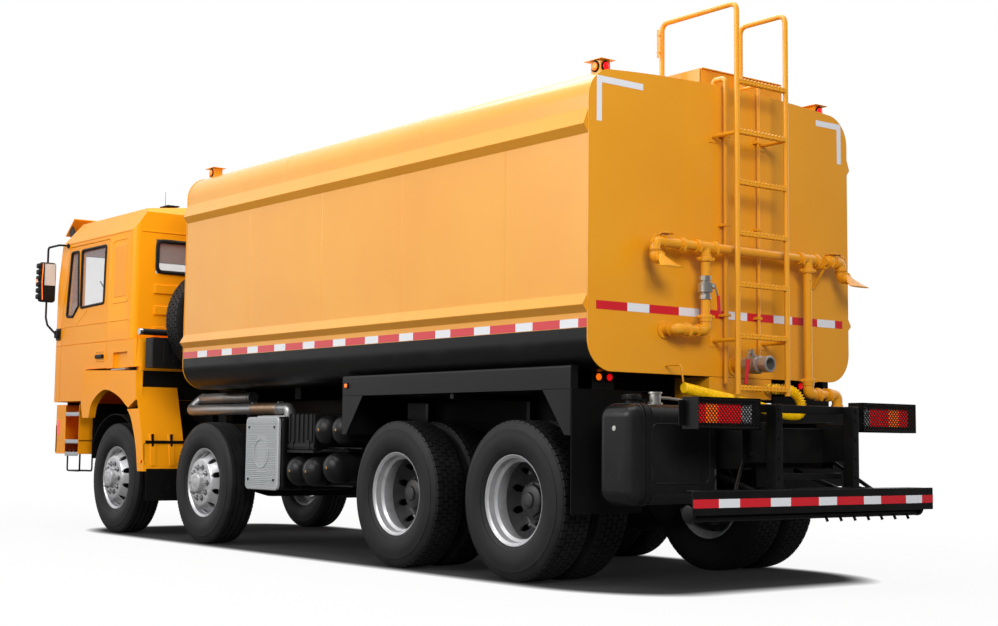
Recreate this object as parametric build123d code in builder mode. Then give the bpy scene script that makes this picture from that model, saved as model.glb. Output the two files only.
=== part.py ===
from build123d import *
from math import radians, tan
import os

os.makedirs("parts", exist_ok=True)

# An eight-wheel rigid tanker lorry with four axles, in millimetres. The origin is on the ground
# under the middle of the vehicle. X points to the lorry's left, Y to its rear and Z up.
SIDES = {"left": 1, "right": -1}

# Overall sizes
overall_length = 9270
front_overhang = 1560
axle_gaps = (1800, 2975, 1350)
front_end = -overall_length / 2
rear_end = overall_length / 2
axle_1 = front_end + front_overhang
axle_2 = axle_1 + axle_gaps[0]
axle_3 = axle_2 + axle_gaps[1]
axle_4 = axle_3 + axle_gaps[2]

# Clearances
seat_gap = 0.3
running_gap = 0.3
door_gap = 6

# Tyres and rims
tyre_radius = 525
tyre_width = 279
tread_half = 112
rim_half = 112
rim_flange_radius = 298
rim_flange_width = 12
rim_seat_radius = 284
rim_wall = 8
front_track = 2100
rear_track = 1800
twin_spacing = 320
front_disc_reach = 135
disc_thickness = 12
disc_radius = 190
hub_radius = 95
drum_radius = 200
hand_hole_radius = 24
hand_hole_circle = 232
hand_holes = 10

# Steered front axles
kingpin_x = 860
kingpin_radius = 25
eye_radius = 55
eye_half_height = 60
ear_thickness = 45
stub_radius = 40
beam_depth = 90
beam_drop_top = 500
beam_drop_bottom = 400
backing_plate_radius = 190

# Driven rear axles
axle_tube_radius = 75
differential_radius = 225
spindle_radius = 50
spindle_root_x = 620

# Chassis frame
rail_half = 430
rail_flange = 80
rail_web = 8
rail_bottom = 750
rail_top = 1050
rail_front = axle_1 - 1290
rail_rear = axle_4 + 1325
spring_width = 90
bogie_spring_x = 445

# Tank
tank_front = axle_1 + 1484
tank_rear = axle_1 + 6925
tank_half = 1235
tank_bottom = 1350
tank_shoulder = 3250
tank_crown = 3292
tank_corner = 200
end_plate = 8
end_lip = 5
rib_reach = 40
subframe_top = 1250
bearer_half = 700

# Cab
cab_half = 1245
cab_wall = 40
cab_floor = 1400
cab_skirt = 1268
cab_front = axle_1 - 1500
cab_belt = 1950
cab_back = axle_1 + 420
roof_seam = 2890
roof_edge = 3110
roof_crown = 3180
roof_edge_half = 1095
glass_thickness = 6
cab_pivot_y = axle_1 - 1450
cab_pivot_z = 1120


def save(piece, name):
    """Label a finished piece and write its STEP file."""
    piece.part.label = name
    export_step(piece.part, f"parts/{name}.step")


def block(corner, opposite, mode=Mode.ADD):
    """A box between two opposite corners."""
    size = [abs(b - a) for a, b in zip(corner, opposite)]
    middle = [(a + b) / 2 for a, b in zip(corner, opposite)]
    with Locations(tuple(middle)):
        Box(*size, mode=mode)


def bar(start, end, radius, mode=Mode.ADD):
    """A round bar between two points."""
    along = Vector(*end) - Vector(*start)
    with BuildSketch(Plane(origin=start, z_dir=along)) as section:
        Circle(radius)
    extrude(section.sketch, amount=along.length, mode=mode)


def bent_bar(points, bend, radius):
    """A round bar along straight runs with rounded corners."""
    with BuildLine() as route:
        FilletPolyline(*points, radius=bend)
    with BuildSketch(Plane(origin=route.line @ 0, z_dir=route.line % 0)) as section:
        Circle(radius)
    sweep(section.sketch, path=route.line)


def side_plate(points, x_from, x_to, mode=Mode.ADD):
    """A flat plate with a straight-edged outline in Y and Z, between two X planes."""
    with BuildSketch(Plane.YZ.offset(x_from)) as outline:
        with BuildLine():
            Polyline(*points, close=True)
        make_face()
    extrude(outline.sketch, amount=x_to - x_from, mode=mode)


def cross_plate(points, y_from, y_to, mode=Mode.ADD):
    """A flat plate with a straight-edged outline in X and Z, between two Y planes."""
    with BuildSketch(Plane.XZ.offset(-y_from)) as outline:
        with BuildLine():
            Polyline(*points, close=True)
        make_face()
    extrude(outline.sketch, amount=y_from - y_to, mode=mode)


def ring_about_x(points, x, y, outboard, mode=Mode.ADD):
    """Revolve (distance outboard, radius) points about a wheel's own axis."""
    wheel_plane = Plane(origin=(x, y, tyre_radius), x_dir=(outboard, 0, 0), z_dir=(0, -outboard, 0))
    with BuildSketch(wheel_plane) as profile:
        with BuildLine():
            Polyline(*points, close=True)
        make_face()
    revolve(profile.sketch, axis=Axis((x, y, tyre_radius), (1, 0, 0)), mode=mode)


# ---------------------------------------------------------------- wheels
sidewall = tyre_radius - rim_flange_radius
TYRE_PROFILE = [
    (rim_half - rim_flange_width - seat_gap, rim_seat_radius + seat_gap),
    (rim_half - rim_flange_width - seat_gap, rim_flange_radius + seat_gap),
    (tyre_width / 2 - 14, rim_flange_radius + 0.10 * sidewall),
    (tyre_width / 2, rim_flange_radius + 0.42 * sidewall),
    (tyre_width / 2 - 4, rim_flange_radius + 0.67 * sidewall),
    (tread_half + 12, tyre_radius - 0.10 * sidewall),
    (tread_half - 8, tyre_radius),
]
RIM_PROFILE = [
    (rim_half, rim_flange_radius),
    (rim_half - rim_flange_width, rim_flange_radius),
    (rim_half - rim_flange_width, rim_seat_radius),
]
# A disc stops just inside its rim, where the real one is welded
weld = rim_seat_radius - rim_wall - seat_gap
TYRE_RING = TYRE_PROFILE + [(-u, r) for u, r in reversed(TYRE_PROFILE)]
RIM_RING = (
    RIM_PROFILE
    + [(-u, r) for u, r in reversed(RIM_PROFILE)]
    + [(-rim_half, rim_seat_radius - rim_wall), (rim_half, rim_seat_radius - rim_wall)]
)

for axle_number, axle_y in ((1, axle_1), (2, axle_2)):
    for side_name, side in SIDES.items():
        wheel_x = side * front_track / 2
        with BuildPart() as tyre:
            ring_about_x(TYRE_RING, wheel_x, axle_y, side)
        save(tyre, f"tyre_{axle_number}_{side_name}")

        front_disc = [
            (10, weld),
            (24, weld),
            (front_disc_reach + disc_thickness, disc_radius),
            (front_disc_reach + disc_thickness, hub_radius),
            (front_disc_reach + 60, hub_radius),
            (front_disc_reach + 68, hub_radius - 12),
            (front_disc_reach + 68, 0),
            (-68, 0),
            (-68, drum_radius),
            (0, drum_radius),
            (0, hub_radius + 20),
            (front_disc_reach, hub_radius + 20),
            (front_disc_reach, disc_radius - 6),
        ]
        with BuildPart() as rim:
            ring_about_x(RIM_RING, wheel_x, axle_y, side)
            ring_about_x(front_disc, wheel_x, axle_y, side)
            bore = [
                (-80, 0),
                (-80, stub_radius + running_gap),
                (80, stub_radius + running_gap),
                (80, 0),
            ]
            ring_about_x(bore, wheel_x, axle_y, side, mode=Mode.SUBTRACT)
            with BuildSketch(Plane(origin=(wheel_x, axle_y, tyre_radius), z_dir=(side, 0, 0))):
                with PolarLocations(hand_hole_circle, hand_holes):
                    Circle(hand_hole_radius)
            extrude(amount=front_disc_reach, mode=Mode.SUBTRACT)
        save(rim, f"rim_{axle_number}_{side_name}")

        with BuildPart() as knuckle:
            pin_x = side * kingpin_x
            ear_tops = (
                (tyre_radius + eye_half_height + seat_gap, 1),
                (tyre_radius - eye_half_height - seat_gap, -1),
            )
            web_x = pin_x + side * (eye_radius + 10)
            web_out = web_x + side * 35
            for ear_z, up in ear_tops:
                ear_end = ear_z + up * ear_thickness
                bar((pin_x, axle_y, ear_z), (pin_x, axle_y, ear_end), eye_radius)
                block((pin_x, axle_y - eye_radius, ear_z), (web_out, axle_y + eye_radius, ear_end))
            pin_bottom = ear_tops[1][0] - ear_thickness
            pin_top = ear_tops[0][0] + ear_thickness
            bar((pin_x, axle_y, pin_bottom), (pin_x, axle_y, pin_top), kingpin_radius)
            block((web_x, axle_y - eye_radius, pin_bottom), (web_out, axle_y + eye_radius, pin_top))
            plate_end = web_out + side * 12
            plate_start = (web_out, axle_y, tyre_radius)
            bar(plate_start, (plate_end, axle_y, tyre_radius), backing_plate_radius)
            bar(plate_start, (wheel_x + side * 75, axle_y, tyre_radius), stub_radius)
        save(knuckle, f"knuckle_{axle_number}_{side_name}")

for axle_number, axle_y in ((3, axle_3), (4, axle_4)):
    for side_name, side in SIDES.items():
        middle_x = side * rear_track / 2
        outer_x = middle_x + side * twin_spacing / 2
        inner_x = middle_x - side * twin_spacing / 2
        with BuildPart() as tyres:
            ring_about_x(TYRE_RING, outer_x, axle_y, side)
            ring_about_x(TYRE_RING, inner_x, axle_y, side)
        save(tyres, f"tyres_{axle_number}_{side_name}")

        with BuildPart() as rims:
            ring_about_x(RIM_RING, outer_x, axle_y, side)
            ring_about_x(RIM_RING, inner_x, axle_y, side)
            for facing in (1, -1):
                dish = [
                    (0, disc_radius),
                    (twin_spacing / 2 - 58, weld),
                    (twin_spacing / 2 - 44, weld),
                    (disc_thickness, disc_radius - 4),
                    (disc_thickness, 0),
                    (0, 0),
                ]
                ring_about_x(dish, middle_x, axle_y, side * facing)
            hub = [
                (-240, 0),
                (-240, drum_radius),
                (-20, drum_radius),
                (-20, hub_radius + 30),
                (60, hub_radius + 30),
                (60, hub_radius + 12),
                (150, hub_radius + 12),
                (165, hub_radius - 5),
                (165, 0),
            ]
            ring_about_x(hub, middle_x, axle_y, side)
            bore = [
                (-250, 0),
                (-250, spindle_radius + running_gap),
                (100, spindle_radius + running_gap),
                (100, 0),
            ]
            ring_about_x(bore, middle_x, axle_y, side, mode=Mode.SUBTRACT)
            with BuildSketch(Plane(origin=(middle_x, axle_y, tyre_radius), z_dir=(side, 0, 0))):
                with PolarLocations(hand_hole_circle, hand_holes):
                    Circle(hand_hole_radius)
            extrude(amount=twin_spacing / 2, both=True, mode=Mode.SUBTRACT)
        save(rims, f"rims_{axle_number}_{side_name}")

# ---------------------------------------------------------------- axles and springs
with BuildPart() as front_axle_beams:
    for axle_y in (axle_1, axle_2):
        eye_bottom = tyre_radius - eye_half_height
        eye_top = tyre_radius + eye_half_height
        half_outline = [
            (500, beam_drop_bottom),
            (740, eye_bottom),
            (kingpin_x, eye_bottom),
            (kingpin_x, eye_top),
            (720, eye_top),
            (500, beam_drop_top),
        ]
        outline = half_outline + [(-x, z) for x, z in reversed(half_outline)]
        cross_plate(outline, axle_y - beam_depth / 2, axle_y + beam_depth / 2)
        for side in SIDES.values():
            eye_x = side * kingpin_x
            bar((eye_x, axle_y, eye_bottom), (eye_x, axle_y, eye_top), eye_radius)
            bore_radius = kingpin_radius + running_gap
            bar((eye_x, axle_y, eye_bottom), (eye_x, axle_y, eye_top), bore_radius, Mode.SUBTRACT)
            seat_in = side * (rail_half + 5)
            seat_out = seat_in - side * spring_width
            block((seat_in, axle_y - 80, beam_drop_top), (seat_out, axle_y + 80, 560 - seat_gap))
save(front_axle_beams, "front_axle_beams")

with BuildPart() as rear_axle_housings:
    for axle_y in (axle_3, axle_4):
        centre = (0, axle_y, tyre_radius)
        bar((-spindle_root_x + 20, *centre[1:]), (spindle_root_x - 20, *centre[1:]), axle_tube_radius)
        with Locations(centre):
            Sphere(differential_radius)
        nose_y = axle_y - differential_radius - 90
        bar(centre, (0, nose_y, tyre_radius), 95)
        for side in SIDES.values():
            root_x = side * spindle_root_x
            bar((root_x - side * 20, *centre[1:]), (root_x, *centre[1:]), backing_plate_radius - 30)
            tip_x = side * (rear_track / 2 + 80)
            bar((root_x, *centre[1:]), (tip_x, *centre[1:]), spindle_radius)
            spring_in = side * bogie_spring_x
            spring_out = spring_in + side * spring_width
            block((spring_in, axle_y - 60, tyre_radius), (spring_out, axle_y + 60, 630 - seat_gap))
save(rear_axle_housings, "rear_axle_housings")

bogie_y = (axle_3 + axle_4) / 2
with BuildPart() as leaf_springs:
    for side in SIDES.values():
        outer_x = side * rail_half
        inner_x = outer_x - side * spring_width
        for axle_y in (axle_1, axle_2):
            pack = [
                (axle_y - 90, 560),
                (axle_y + 90, 560),
                (axle_y + 420, 600),
                (axle_y + 720, 690),
                (axle_y + 720, 712),
                (axle_y + 420, 660),
                (axle_y, 640),
                (axle_y - 420, 660),
                (axle_y - 720, 712),
                (axle_y - 720, 690),
                (axle_y - 420, 600),
            ]
            side_plate(pack, inner_x, outer_x)
            for end_y in (axle_y - 720, axle_y + 720):
                hanger_top = rail_bottom - seat_gap
                block((inner_x, end_y - 35, 660), (outer_x, end_y + 35, hanger_top))
        bogie_in = side * bogie_spring_x
        bogie_out = bogie_in + side * spring_width
        bogie_pack = [
            (axle_3 - 60, 630),
            (axle_3 + 60, 630),
            (bogie_y - 120, 700),
            (bogie_y + 120, 700),
            (axle_4 - 60, 630),
            (axle_4 + 60, 630),
            (axle_4 + 60, 665),
            (bogie_y + 120, 830),
            (bogie_y - 120, 830),
            (axle_3 - 60, 665),
        ]
        side_plate(bogie_pack, bogie_in, bogie_out)
save(leaf_springs, "leaf_springs")

# ---------------------------------------------------------------- chassis frame
cross_half = rail_half - rail_web - seat_gap
with BuildPart() as chassis_frame:
    for side in SIDES.values():
        outer = side * rail_half
        web_in = outer - side * rail_web
        tip = outer - side * rail_flange
        block((outer, rail_front, rail_bottom), (web_in, rail_rear, rail_top))
        block((outer, rail_front, rail_bottom), (tip, rail_rear, rail_bottom + rail_web))
        block((outer, rail_front, rail_top - rail_web), (tip, rail_rear, rail_top))
    member_places = (
        rail_front + 60,
        axle_1 + 1150,
        axle_2 + 700,
        axle_2 + 1700,
        bogie_y,
        axle_4 + 500,
        rail_rear - 60,
    )
    for member_y in member_places:
        low = (-cross_half, member_y - 40, rail_bottom + 40)
        block(low, (cross_half, member_y + 40, rail_top - 40))
    for side in SIDES.values():
        bracket_in = side * rail_half
        bracket_mid = side * (bogie_spring_x - seat_gap)
        bracket_out = side * (bogie_spring_x + spring_width)
        block((bracket_in, bogie_y - 150, 430), (bracket_mid, bogie_y + 150, 980))
        block((bracket_mid, bogie_y - 110, 430), (bracket_out, bogie_y + 110, 700 - seat_gap))
save(chassis_frame, "chassis_frame")

shaft_radius = 50
nose_y = axle_3 - differential_radius - 90
with BuildPart() as powertrain:
    block((-330, axle_1 - 900, 620), (330, axle_1 + 250, 1340))
    block((-220, axle_1 + 250, 640), (220, axle_1 + 900, 1040))
    for side in SIDES.values():
        mount_tip = side * cross_half
        for mount_y in (axle_1 - 700, axle_1 + 50):
            block((side * 330, mount_y - 60, 860), (mount_tip, mount_y + 60, 980))
    bearing_y = axle_2 + 700
    bar((0, axle_1 + 890, 720), (0, bearing_y, 690), shaft_radius)
    bar((0, bearing_y, 690), (0, nose_y - 30, tyre_radius + 15), shaft_radius)
    bar((0, bearing_y - 35, 690), (0, bearing_y + 35, 690), 75)
    block((-60, bearing_y - 30, 740), (60, bearing_y + 30, rail_bottom + 40 - seat_gap))
    bar((0, nose_y - 40, tyre_radius), (0, nose_y - seat_gap, tyre_radius), 80)
    link_start = (0, axle_3 + differential_radius + 5, tyre_radius)
    bar(link_start, (0, axle_4 - differential_radius - 90 - seat_gap, tyre_radius), shaft_radius)
save(powertrain, "powertrain")

# ---------------------------------------------------------------- tank


def tank_face(y, grow):
    """The tank's cross-section on a Y plane, moved outwards by grow."""
    half = tank_half + grow
    bottom = tank_bottom - grow
    shoulder = tank_shoulder + grow
    crown = tank_crown + grow
    flat = tank_half - tank_corner
    low_side = tank_bottom + tank_corner
    high_side = tank_shoulder - tank_corner
    with BuildSketch(Plane.XZ.offset(-y)) as face:
        with BuildLine():
            Line((-flat, bottom), (flat, bottom))
            RadiusArc((flat, bottom), (half, low_side), -(tank_corner + grow))
            Line((half, low_side), (half, high_side))
            RadiusArc((half, high_side), (flat, shoulder), -(tank_corner + grow))
            ThreePointArc((flat, shoulder), (0, crown), (-flat, shoulder))
            RadiusArc((-flat, shoulder), (-half, high_side), -(tank_corner + grow))
            Line((-half, high_side), (-half, low_side))
            RadiusArc((-half, low_side), (-flat, bottom), -(tank_corner + grow))
        make_face()
    return face.sketch


# Pressed side ribs: crest height, height where the top slope starts, height where it ends
RIBS = ((2880, 2987, 2826), (1752, 1822, 1706))

with BuildPart() as tank_shell:
    extrude(tank_face(tank_front, 0), amount=tank_front - tank_rear)
    for plate_front in (tank_front, tank_rear - end_plate):
        extrude(tank_face(plate_front, end_lip), amount=-end_plate)
    for side in SIDES.values():
        for crest, top, bottom in RIBS:
            wall = side * (tank_half - 20)
            rib = [
                (wall, top),
                (side * tank_half, top),
                (side * (tank_half + rib_reach), crest),
                (side * tank_half, bottom),
                (wall, bottom),
            ]
            cross_plate(rib, tank_front + end_plate, tank_rear - end_plate)
save(tank_shell, "tank_shell")

sump_front = tank_rear - 330
with BuildPart() as tank_saddles:
    for side in SIDES.values():
        beam_out = side * rail_half
        beam_in = beam_out - side * rail_flange
        beam_low = (beam_in, tank_front + 60, rail_top)
        block(beam_low, (beam_out, sump_front - 60, subframe_top - seat_gap))
    bearer_spacing = 950
    bearer_count = 6
    for number in range(bearer_count):
        bearer_y = tank_front + 150 + number * bearer_spacing
        low = (-bearer_half, bearer_y - 50, subframe_top)
        block(low, (bearer_half, bearer_y + 50, tank_bottom))
save(tank_saddles, "tank_saddles")

sump_left = 170
sump_right = -430
sump_bottom = 1205
drain_x = -60
drain_z = 1425
drain_radius = 45
drain_bore = 38
valve_radius = 62
with BuildPart() as drain_valve:
    block((sump_left, sump_front, sump_bottom), (sump_right, tank_rear - 5, tank_bottom - end_lip))
    pipe_start = (drain_x, tank_rear + seat_gap, drain_z)
    bar(pipe_start, (drain_x, tank_rear + 120, drain_z), drain_radius)
    bar((drain_x, tank_rear + 100, drain_z), (drain_x, tank_rear + 235, drain_z), valve_radius)
    bar((drain_x, tank_rear + 235, drain_z), (drain_x, tank_rear + 320, drain_z), valve_radius - 8)
    bore_start = (drain_x, tank_rear + 200, drain_z)
    bar(bore_start, (drain_x, tank_rear + 321, drain_z), drain_bore, Mode.SUBTRACT)
save(drain_valve, "drain_valve")

# ---------------------------------------------------------------- manhole box on the roof
manhole_left = 30
manhole_right = -800
manhole_rear = tank_rear - 225
manhole_front = manhole_rear - 700
manhole_top = 3465
manhole_wall = 6
lid_thickness = 8
with BuildPart() as manhole_box:
    block((manhole_left, manhole_front, tank_shoulder), (manhole_right, manhole_rear, manhole_top))
    inner_left = manhole_left - manhole_wall
    inner_right = manhole_right + manhole_wall
    inner_front = manhole_front + manhole_wall
    inner_rear = manhole_rear - manhole_wall
    inner_low = (inner_left, inner_front, tank_shoulder)
    block(inner_low, (inner_right, inner_rear, manhole_top), Mode.SUBTRACT)
    cut_depth = manhole_rear - manhole_front + 20
    extrude(tank_face(manhole_front - 10, seat_gap), amount=-cut_depth, mode=Mode.SUBTRACT)
save(manhole_box, "manhole_box")

hinge_z = manhole_top + 12
hinge_y = manhole_front - 14
hinge_pin_radius = 6
with BuildPart() as manhole_lid:
    lid_low = (manhole_left + 15, manhole_front, manhole_top + seat_gap)
    block(lid_low, (manhole_right - 15, manhole_rear + 15, manhole_top + lid_thickness))
    hinge_places = (manhole_left - 150, manhole_right + 150)
    for hinge_x in hinge_places:
        start = (hinge_x - 40, hinge_y, hinge_z)
        bar(start, (hinge_x + 40, hinge_y, hinge_z), hinge_pin_radius + 6)
        block((hinge_x - 40, hinge_y, manhole_top + seat_gap), (hinge_x + 40, manhole_front + 20, hinge_z))
save(manhole_lid, "manhole_lid")

# ---------------------------------------------------------------- rear ladder
ladder_y = tank_rear + 225
ladder_left = 145
ladder_right = -330
ladder_radius = 16
ladder_bottom = 1225
ladder_top = 3805
rung_first = 1266
rung_rise = 336
rungs = 7
loop_left_y = tank_rear - 475
loop_right_y = tank_rear - 185


def crown_height(x):
    """Height of the tank's curved roof at a distance from its middle line."""
    flat = tank_half - tank_corner
    rise = tank_crown - tank_shoulder
    radius = (flat**2 + rise**2) / (2 * rise)
    return tank_crown - radius + (radius**2 - x**2) ** 0.5


with BuildPart() as rear_ladder:
    for rail_x, foot_y in ((ladder_left, loop_left_y), (ladder_right, loop_right_y)):
        foot_z = crown_height(abs(rail_x) - 30) + seat_gap
        loop = [
            (rail_x, ladder_y, ladder_bottom),
            (rail_x, ladder_y, ladder_top),
            (rail_x, foot_y, ladder_top),
            (rail_x, foot_y, foot_z + 4),
        ]
        bent_bar(loop, 60, ladder_radius)
        bar((rail_x, foot_y, foot_z), (rail_x, foot_y, foot_z + 8), 30)
    for number in range(rungs):
        rung_z = rung_first + number * rung_rise
        low = (ladder_right, ladder_y - 16, rung_z - 10)
        block(low, (ladder_left, ladder_y + 16, rung_z + 14))
    for rail_x in (ladder_left, ladder_right):
        for standoff_z in (1580, 2940):
            pad = (rail_x, tank_rear + seat_gap, standoff_z)
            bar(pad, (rail_x, ladder_y, standoff_z), 14)
            block((rail_x - 35, pad[1], standoff_z - 40), (rail_x + 35, pad[1] + 6, standoff_z + 40))
save(rear_ladder, "rear_ladder")

# ---------------------------------------------------------------- pipework on the rear plate
pipe_y = tank_rear + 125
pipe_radius = 30
coupling_radius = 43
manifold_z = 2174
left_drop_x = 340
right_drop_x = -655
inlet_x = 590
inlet_z = 1630
hose_radius = 35
hose_y = tank_rear + 160
hose_start_z = 1255
hanger_x = 635
with BuildPart() as pipework:
    left_run = [
        (inlet_x, tank_rear + seat_gap, inlet_z),
        (inlet_x, pipe_y, inlet_z),
        (left_drop_x, pipe_y, inlet_z),
        (left_drop_x, pipe_y, manifold_z),
    ]
    bent_bar(left_run, 48, pipe_radius)
    bar((inlet_x - 15, pipe_y, manifold_z), (right_drop_x - 120, pipe_y, manifold_z), pipe_radius)
    right_run = [
        (right_drop_x, pipe_y, manifold_z),
        (right_drop_x, pipe_y, 1250),
        (right_drop_x - 300, pipe_y, 1250),
        (right_drop_x - 300, pipe_y, 1170),
    ]
    bent_bar(right_run, 48, pipe_radius)
    left_nozzle = [
        (inlet_x - 20, pipe_y, manifold_z),
        (790, pipe_y, manifold_z),
        (790, pipe_y, manifold_z - 110),
        (790, pipe_y + 110, manifold_z - 110),
    ]
    bent_bar(left_nozzle, 50, pipe_radius)
    right_nozzle = [
        (right_drop_x - 110, pipe_y, manifold_z),
        (-1010, pipe_y, manifold_z),
        (-1010, pipe_y, manifold_z - 110),
        (-1010, pipe_y + 110, manifold_z - 110),
    ]
    bent_bar(right_nozzle, 50, pipe_radius)
    bar((left_drop_x, pipe_y, 1830), (left_drop_x, pipe_y, 1985), 55)
    for fan_x in (790, -1010):
        fan_low = (fan_x - 45, pipe_y + 100, manifold_z - 118)
        block(fan_low, (fan_x + 45, pipe_y + 220, manifold_z - 102))
    # Grooved couplings: centre x, centre z, 1 where the pipe is upright
    couplings = (
        (left_drop_x + 75, manifold_z, 0),
        (left_drop_x - 75, manifold_z, 0),
        (left_drop_x, manifold_z - 75, 1),
        (left_drop_x, 1720, 1),
        (right_drop_x + 75, manifold_z, 0),
        (right_drop_x - 75, manifold_z, 0),
        (right_drop_x, manifold_z - 75, 1),
        (right_drop_x, 1340, 1),
    )
    for coupling_x, coupling_z, upright in couplings:
        half = Vector(0, 0, 16) if upright else Vector(16, 0, 0)
        centre = Vector(coupling_x, pipe_y, coupling_z)
        bar(tuple(centre - half), tuple(centre + half), coupling_radius)
    bracket_z = manifold_z - 40
    block((-870, tank_rear + seat_gap, bracket_z), (-830, pipe_y, manifold_z - 20))
    overflow = [
        (60, tank_rear - 70, crown_height(60) + seat_gap),
        (60, tank_rear - 70, 3345),
        (60, tank_rear + 42, 3345),
        (60, tank_rear + 42, 1300),
    ]
    bent_bar(overflow, 40, 17)
    conduit = [
        (-270, manhole_rear + seat_gap, 3345),
        (-270, tank_rear + 30, 3345),
        (-270, tank_rear + 30, 1480),
    ]
    bent_bar(conduit, 24, 11)
    hanger = [
        (hanger_x, tank_rear + seat_gap, 1400),
        (hanger_x, hose_y - 20, 1400),
        (hanger_x, hose_y - 20, hose_start_z + hose_radius + seat_gap),
    ]
    bent_bar(hanger, 20, 6)
save(pipework, "pipework")

# ---------------------------------------------------------------- stored suction hose
hose_points = [
    (640, hose_y - 20, hose_start_z),
    (360, hose_y, 1222),
    (60, hose_y, 1182),
    (-220, hose_y + 10, 1132),
    (-400, hose_y + 20, 1100),
    (-520, hose_y + 20, 1108),
    (-545, hose_y, 1200),
    (-490, hose_y - 30, 1272),
    (-380, hose_y - 50, 1278),
    (-380, tank_rear - 5 + seat_gap, 1278),
]


def arc_radii(points):
    """The largest arc radius that each corner of a route leaves room for."""
    radii = []
    for before, corner, after in zip(points, points[1:], points[2:]):
        arriving = Vector(*corner) - Vector(*before)
        leaving = Vector(*after) - Vector(*corner)
        half_turn = radians(arriving.get_angle(leaving) / 2)
        shorter = min(arriving.length, leaving.length)
        radii.append(0.45 * shorter / tan(half_turn))
    return radii


hose_radii = arc_radii(hose_points)
print("suction hose radii", [round(radius) for radius in hose_radii])
with BuildPart() as suction_hose:
    with BuildLine() as hose_route:
        FilletPolyline(*hose_points, radius=hose_radii)
    with BuildSketch(Plane(origin=hose_route.line @ 0, z_dir=hose_route.line % 0)):
        Circle(hose_radius)
    sweep()
save(suction_hose, "suction_hose")

# ---------------------------------------------------------------- rear frame, bumper and lamps
bumper_depth = 132
bumper_half = 1120
bumper_top = 634
bumper_bottom = 492
bumper_front = rear_end - bumper_depth
upright_x = 360
upright_half = 30
upright_top = 1150
lamp_inner = 480
lamp_outer = 1030
lamp_bottom = 990
lamp_top = 1180
lamp_front = rear_end - 180
lamp_rear = rear_end - 60
with BuildPart() as rear_bumper:
    for side in SIDES.values():
        post_in = side * (upright_x - upright_half)
        post_out = side * (upright_x + upright_half)
        post_front = bumper_front + 30
        block((post_in, post_front, bumper_top - 5), (post_out, rear_end - 20, upright_top))
        plate_in = side * (upright_x - 15)
        plate_out = side * (upright_x + 15)
        block((plate_in, rail_rear + seat_gap, 800), (plate_out, post_front, 1040))
        brace_top = (side * 400, rail_rear - 230, rail_bottom - 14 - seat_gap)
        bar(brace_top, (side * 400, bumper_front + 10, 600), 15)
    beam_half = lamp_inner - seat_gap
    low = (-beam_half, post_front - 60, upright_top - 50)
    block(low, (beam_half, post_front + 5, upright_top))
    block((-bumper_half, bumper_front, bumper_bottom), (bumper_half, rear_end, bumper_top))
    spray_z = bumper_bottom - 20
    bar((-1050, bumper_front + 40, spray_z), (1050, bumper_front + 40, spray_z), 22)
save(rear_bumper, "rear_bumper")

with BuildPart() as tail_lamps:
    for side in SIDES.values():
        block((side * lamp_inner, lamp_front, lamp_bottom), (side * lamp_outer, lamp_rear, lamp_top))
save(tail_lamps, "tail_lamps")

# ---------------------------------------------------------------- side equipment
tank_face_x = rail_half + seat_gap
with BuildPart() as fuel_tanks:
    block((tank_face_x, tank_rear + 15, 530), (1190, tank_rear + 360, 1145))
    block((-tank_face_x, axle_2 + 750, 500), (-1150, axle_2 + 1800, 1040))
    fillet(fuel_tanks.edges().filter_by(Axis.X), radius=55)
save(fuel_tanks, "fuel_tanks")

silencer_front = axle_2 + 642
silencer_rear = axle_1 + 3000
silencer_top = 1090
exhaust_radius = 48
with BuildPart() as exhaust:
    block((tank_face_x, silencer_front, 490), (1120, silencer_rear, silencer_top))
    pipe = [
        (800, axle_1 + 1970, 1272),
        (800, axle_1 + 1030, 1272),
        (900, axle_1 + 990, 1165),
        (900, axle_1 + 2800, 1165),
        (900, axle_1 + 2800, silencer_top - 5),
    ]
    bent_bar(pipe, 52, exhaust_radius)
save(exhaust, "exhaust")

air_plate_out = 470
with BuildPart() as battery_box:
    low = (air_plate_out + seat_gap, silencer_rear + 20, 820)
    block(low, (1050, silencer_rear + 420, 1115))
save(battery_box, "battery_box")

# Compressed-air tanks: distance behind axle 1 and height of each axis
AIR_TANKS = ((3150, 654), (3398, 654), (3708, 689), (3580, 983), (3830, 983))
air_tank_radius = 118
with BuildPart() as air_tanks:
    for behind, tank_z in AIR_TANKS:
        tank_y = axle_1 + behind
        bar((air_plate_out - 10, tank_y, tank_z), (1100, tank_y, tank_z), air_tank_radius)
    domes = air_tanks.faces().sort_by(Axis.X)[-len(AIR_TANKS):]
    fillet(domes.edges(), radius=60)
    block((tank_face_x, axle_1 + 3060, 600), (air_plate_out, axle_1 + 3920, 1040))
save(air_tanks, "air_tanks")

# ---------------------------------------------------------------- mudguards and flaps
guard_inner = 440
guard_outer = 1220
guard_sheet = 5
guard_front = axle_3 - 662
guard_rear = axle_4 + 625
guard_z = 1240
guard_lip_top = 1387
guard_drop = 950
gusset = 280
with BuildPart() as rear_mudguards:
    for side in SIDES.values():
        inner = side * guard_inner
        outer = side * guard_outer
        face = side * (guard_outer - guard_sheet)
        block((inner, guard_front, guard_z - guard_sheet), (outer, guard_rear, guard_z))
        block((face, guard_front, guard_z), (outer, guard_rear, guard_lip_top))
        for end_y, inward in ((guard_front, 1), (guard_rear, -1)):
            end_low = (side * 620, end_y, guard_drop)
            block(end_low, (outer, end_y + inward * guard_sheet, guard_z))
            triangle = [(end_y, guard_z), (end_y + inward * gusset, guard_z), (end_y, guard_drop)]
            side_plate(triangle, face, outer)
        for bracket_y in (guard_front + 90, bogie_y, guard_rear - 100):
            low = (side * (rail_half + seat_gap), bracket_y - 20, 990)
            block(low, (side * 500, bracket_y + 20, guard_z - 2))
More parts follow.
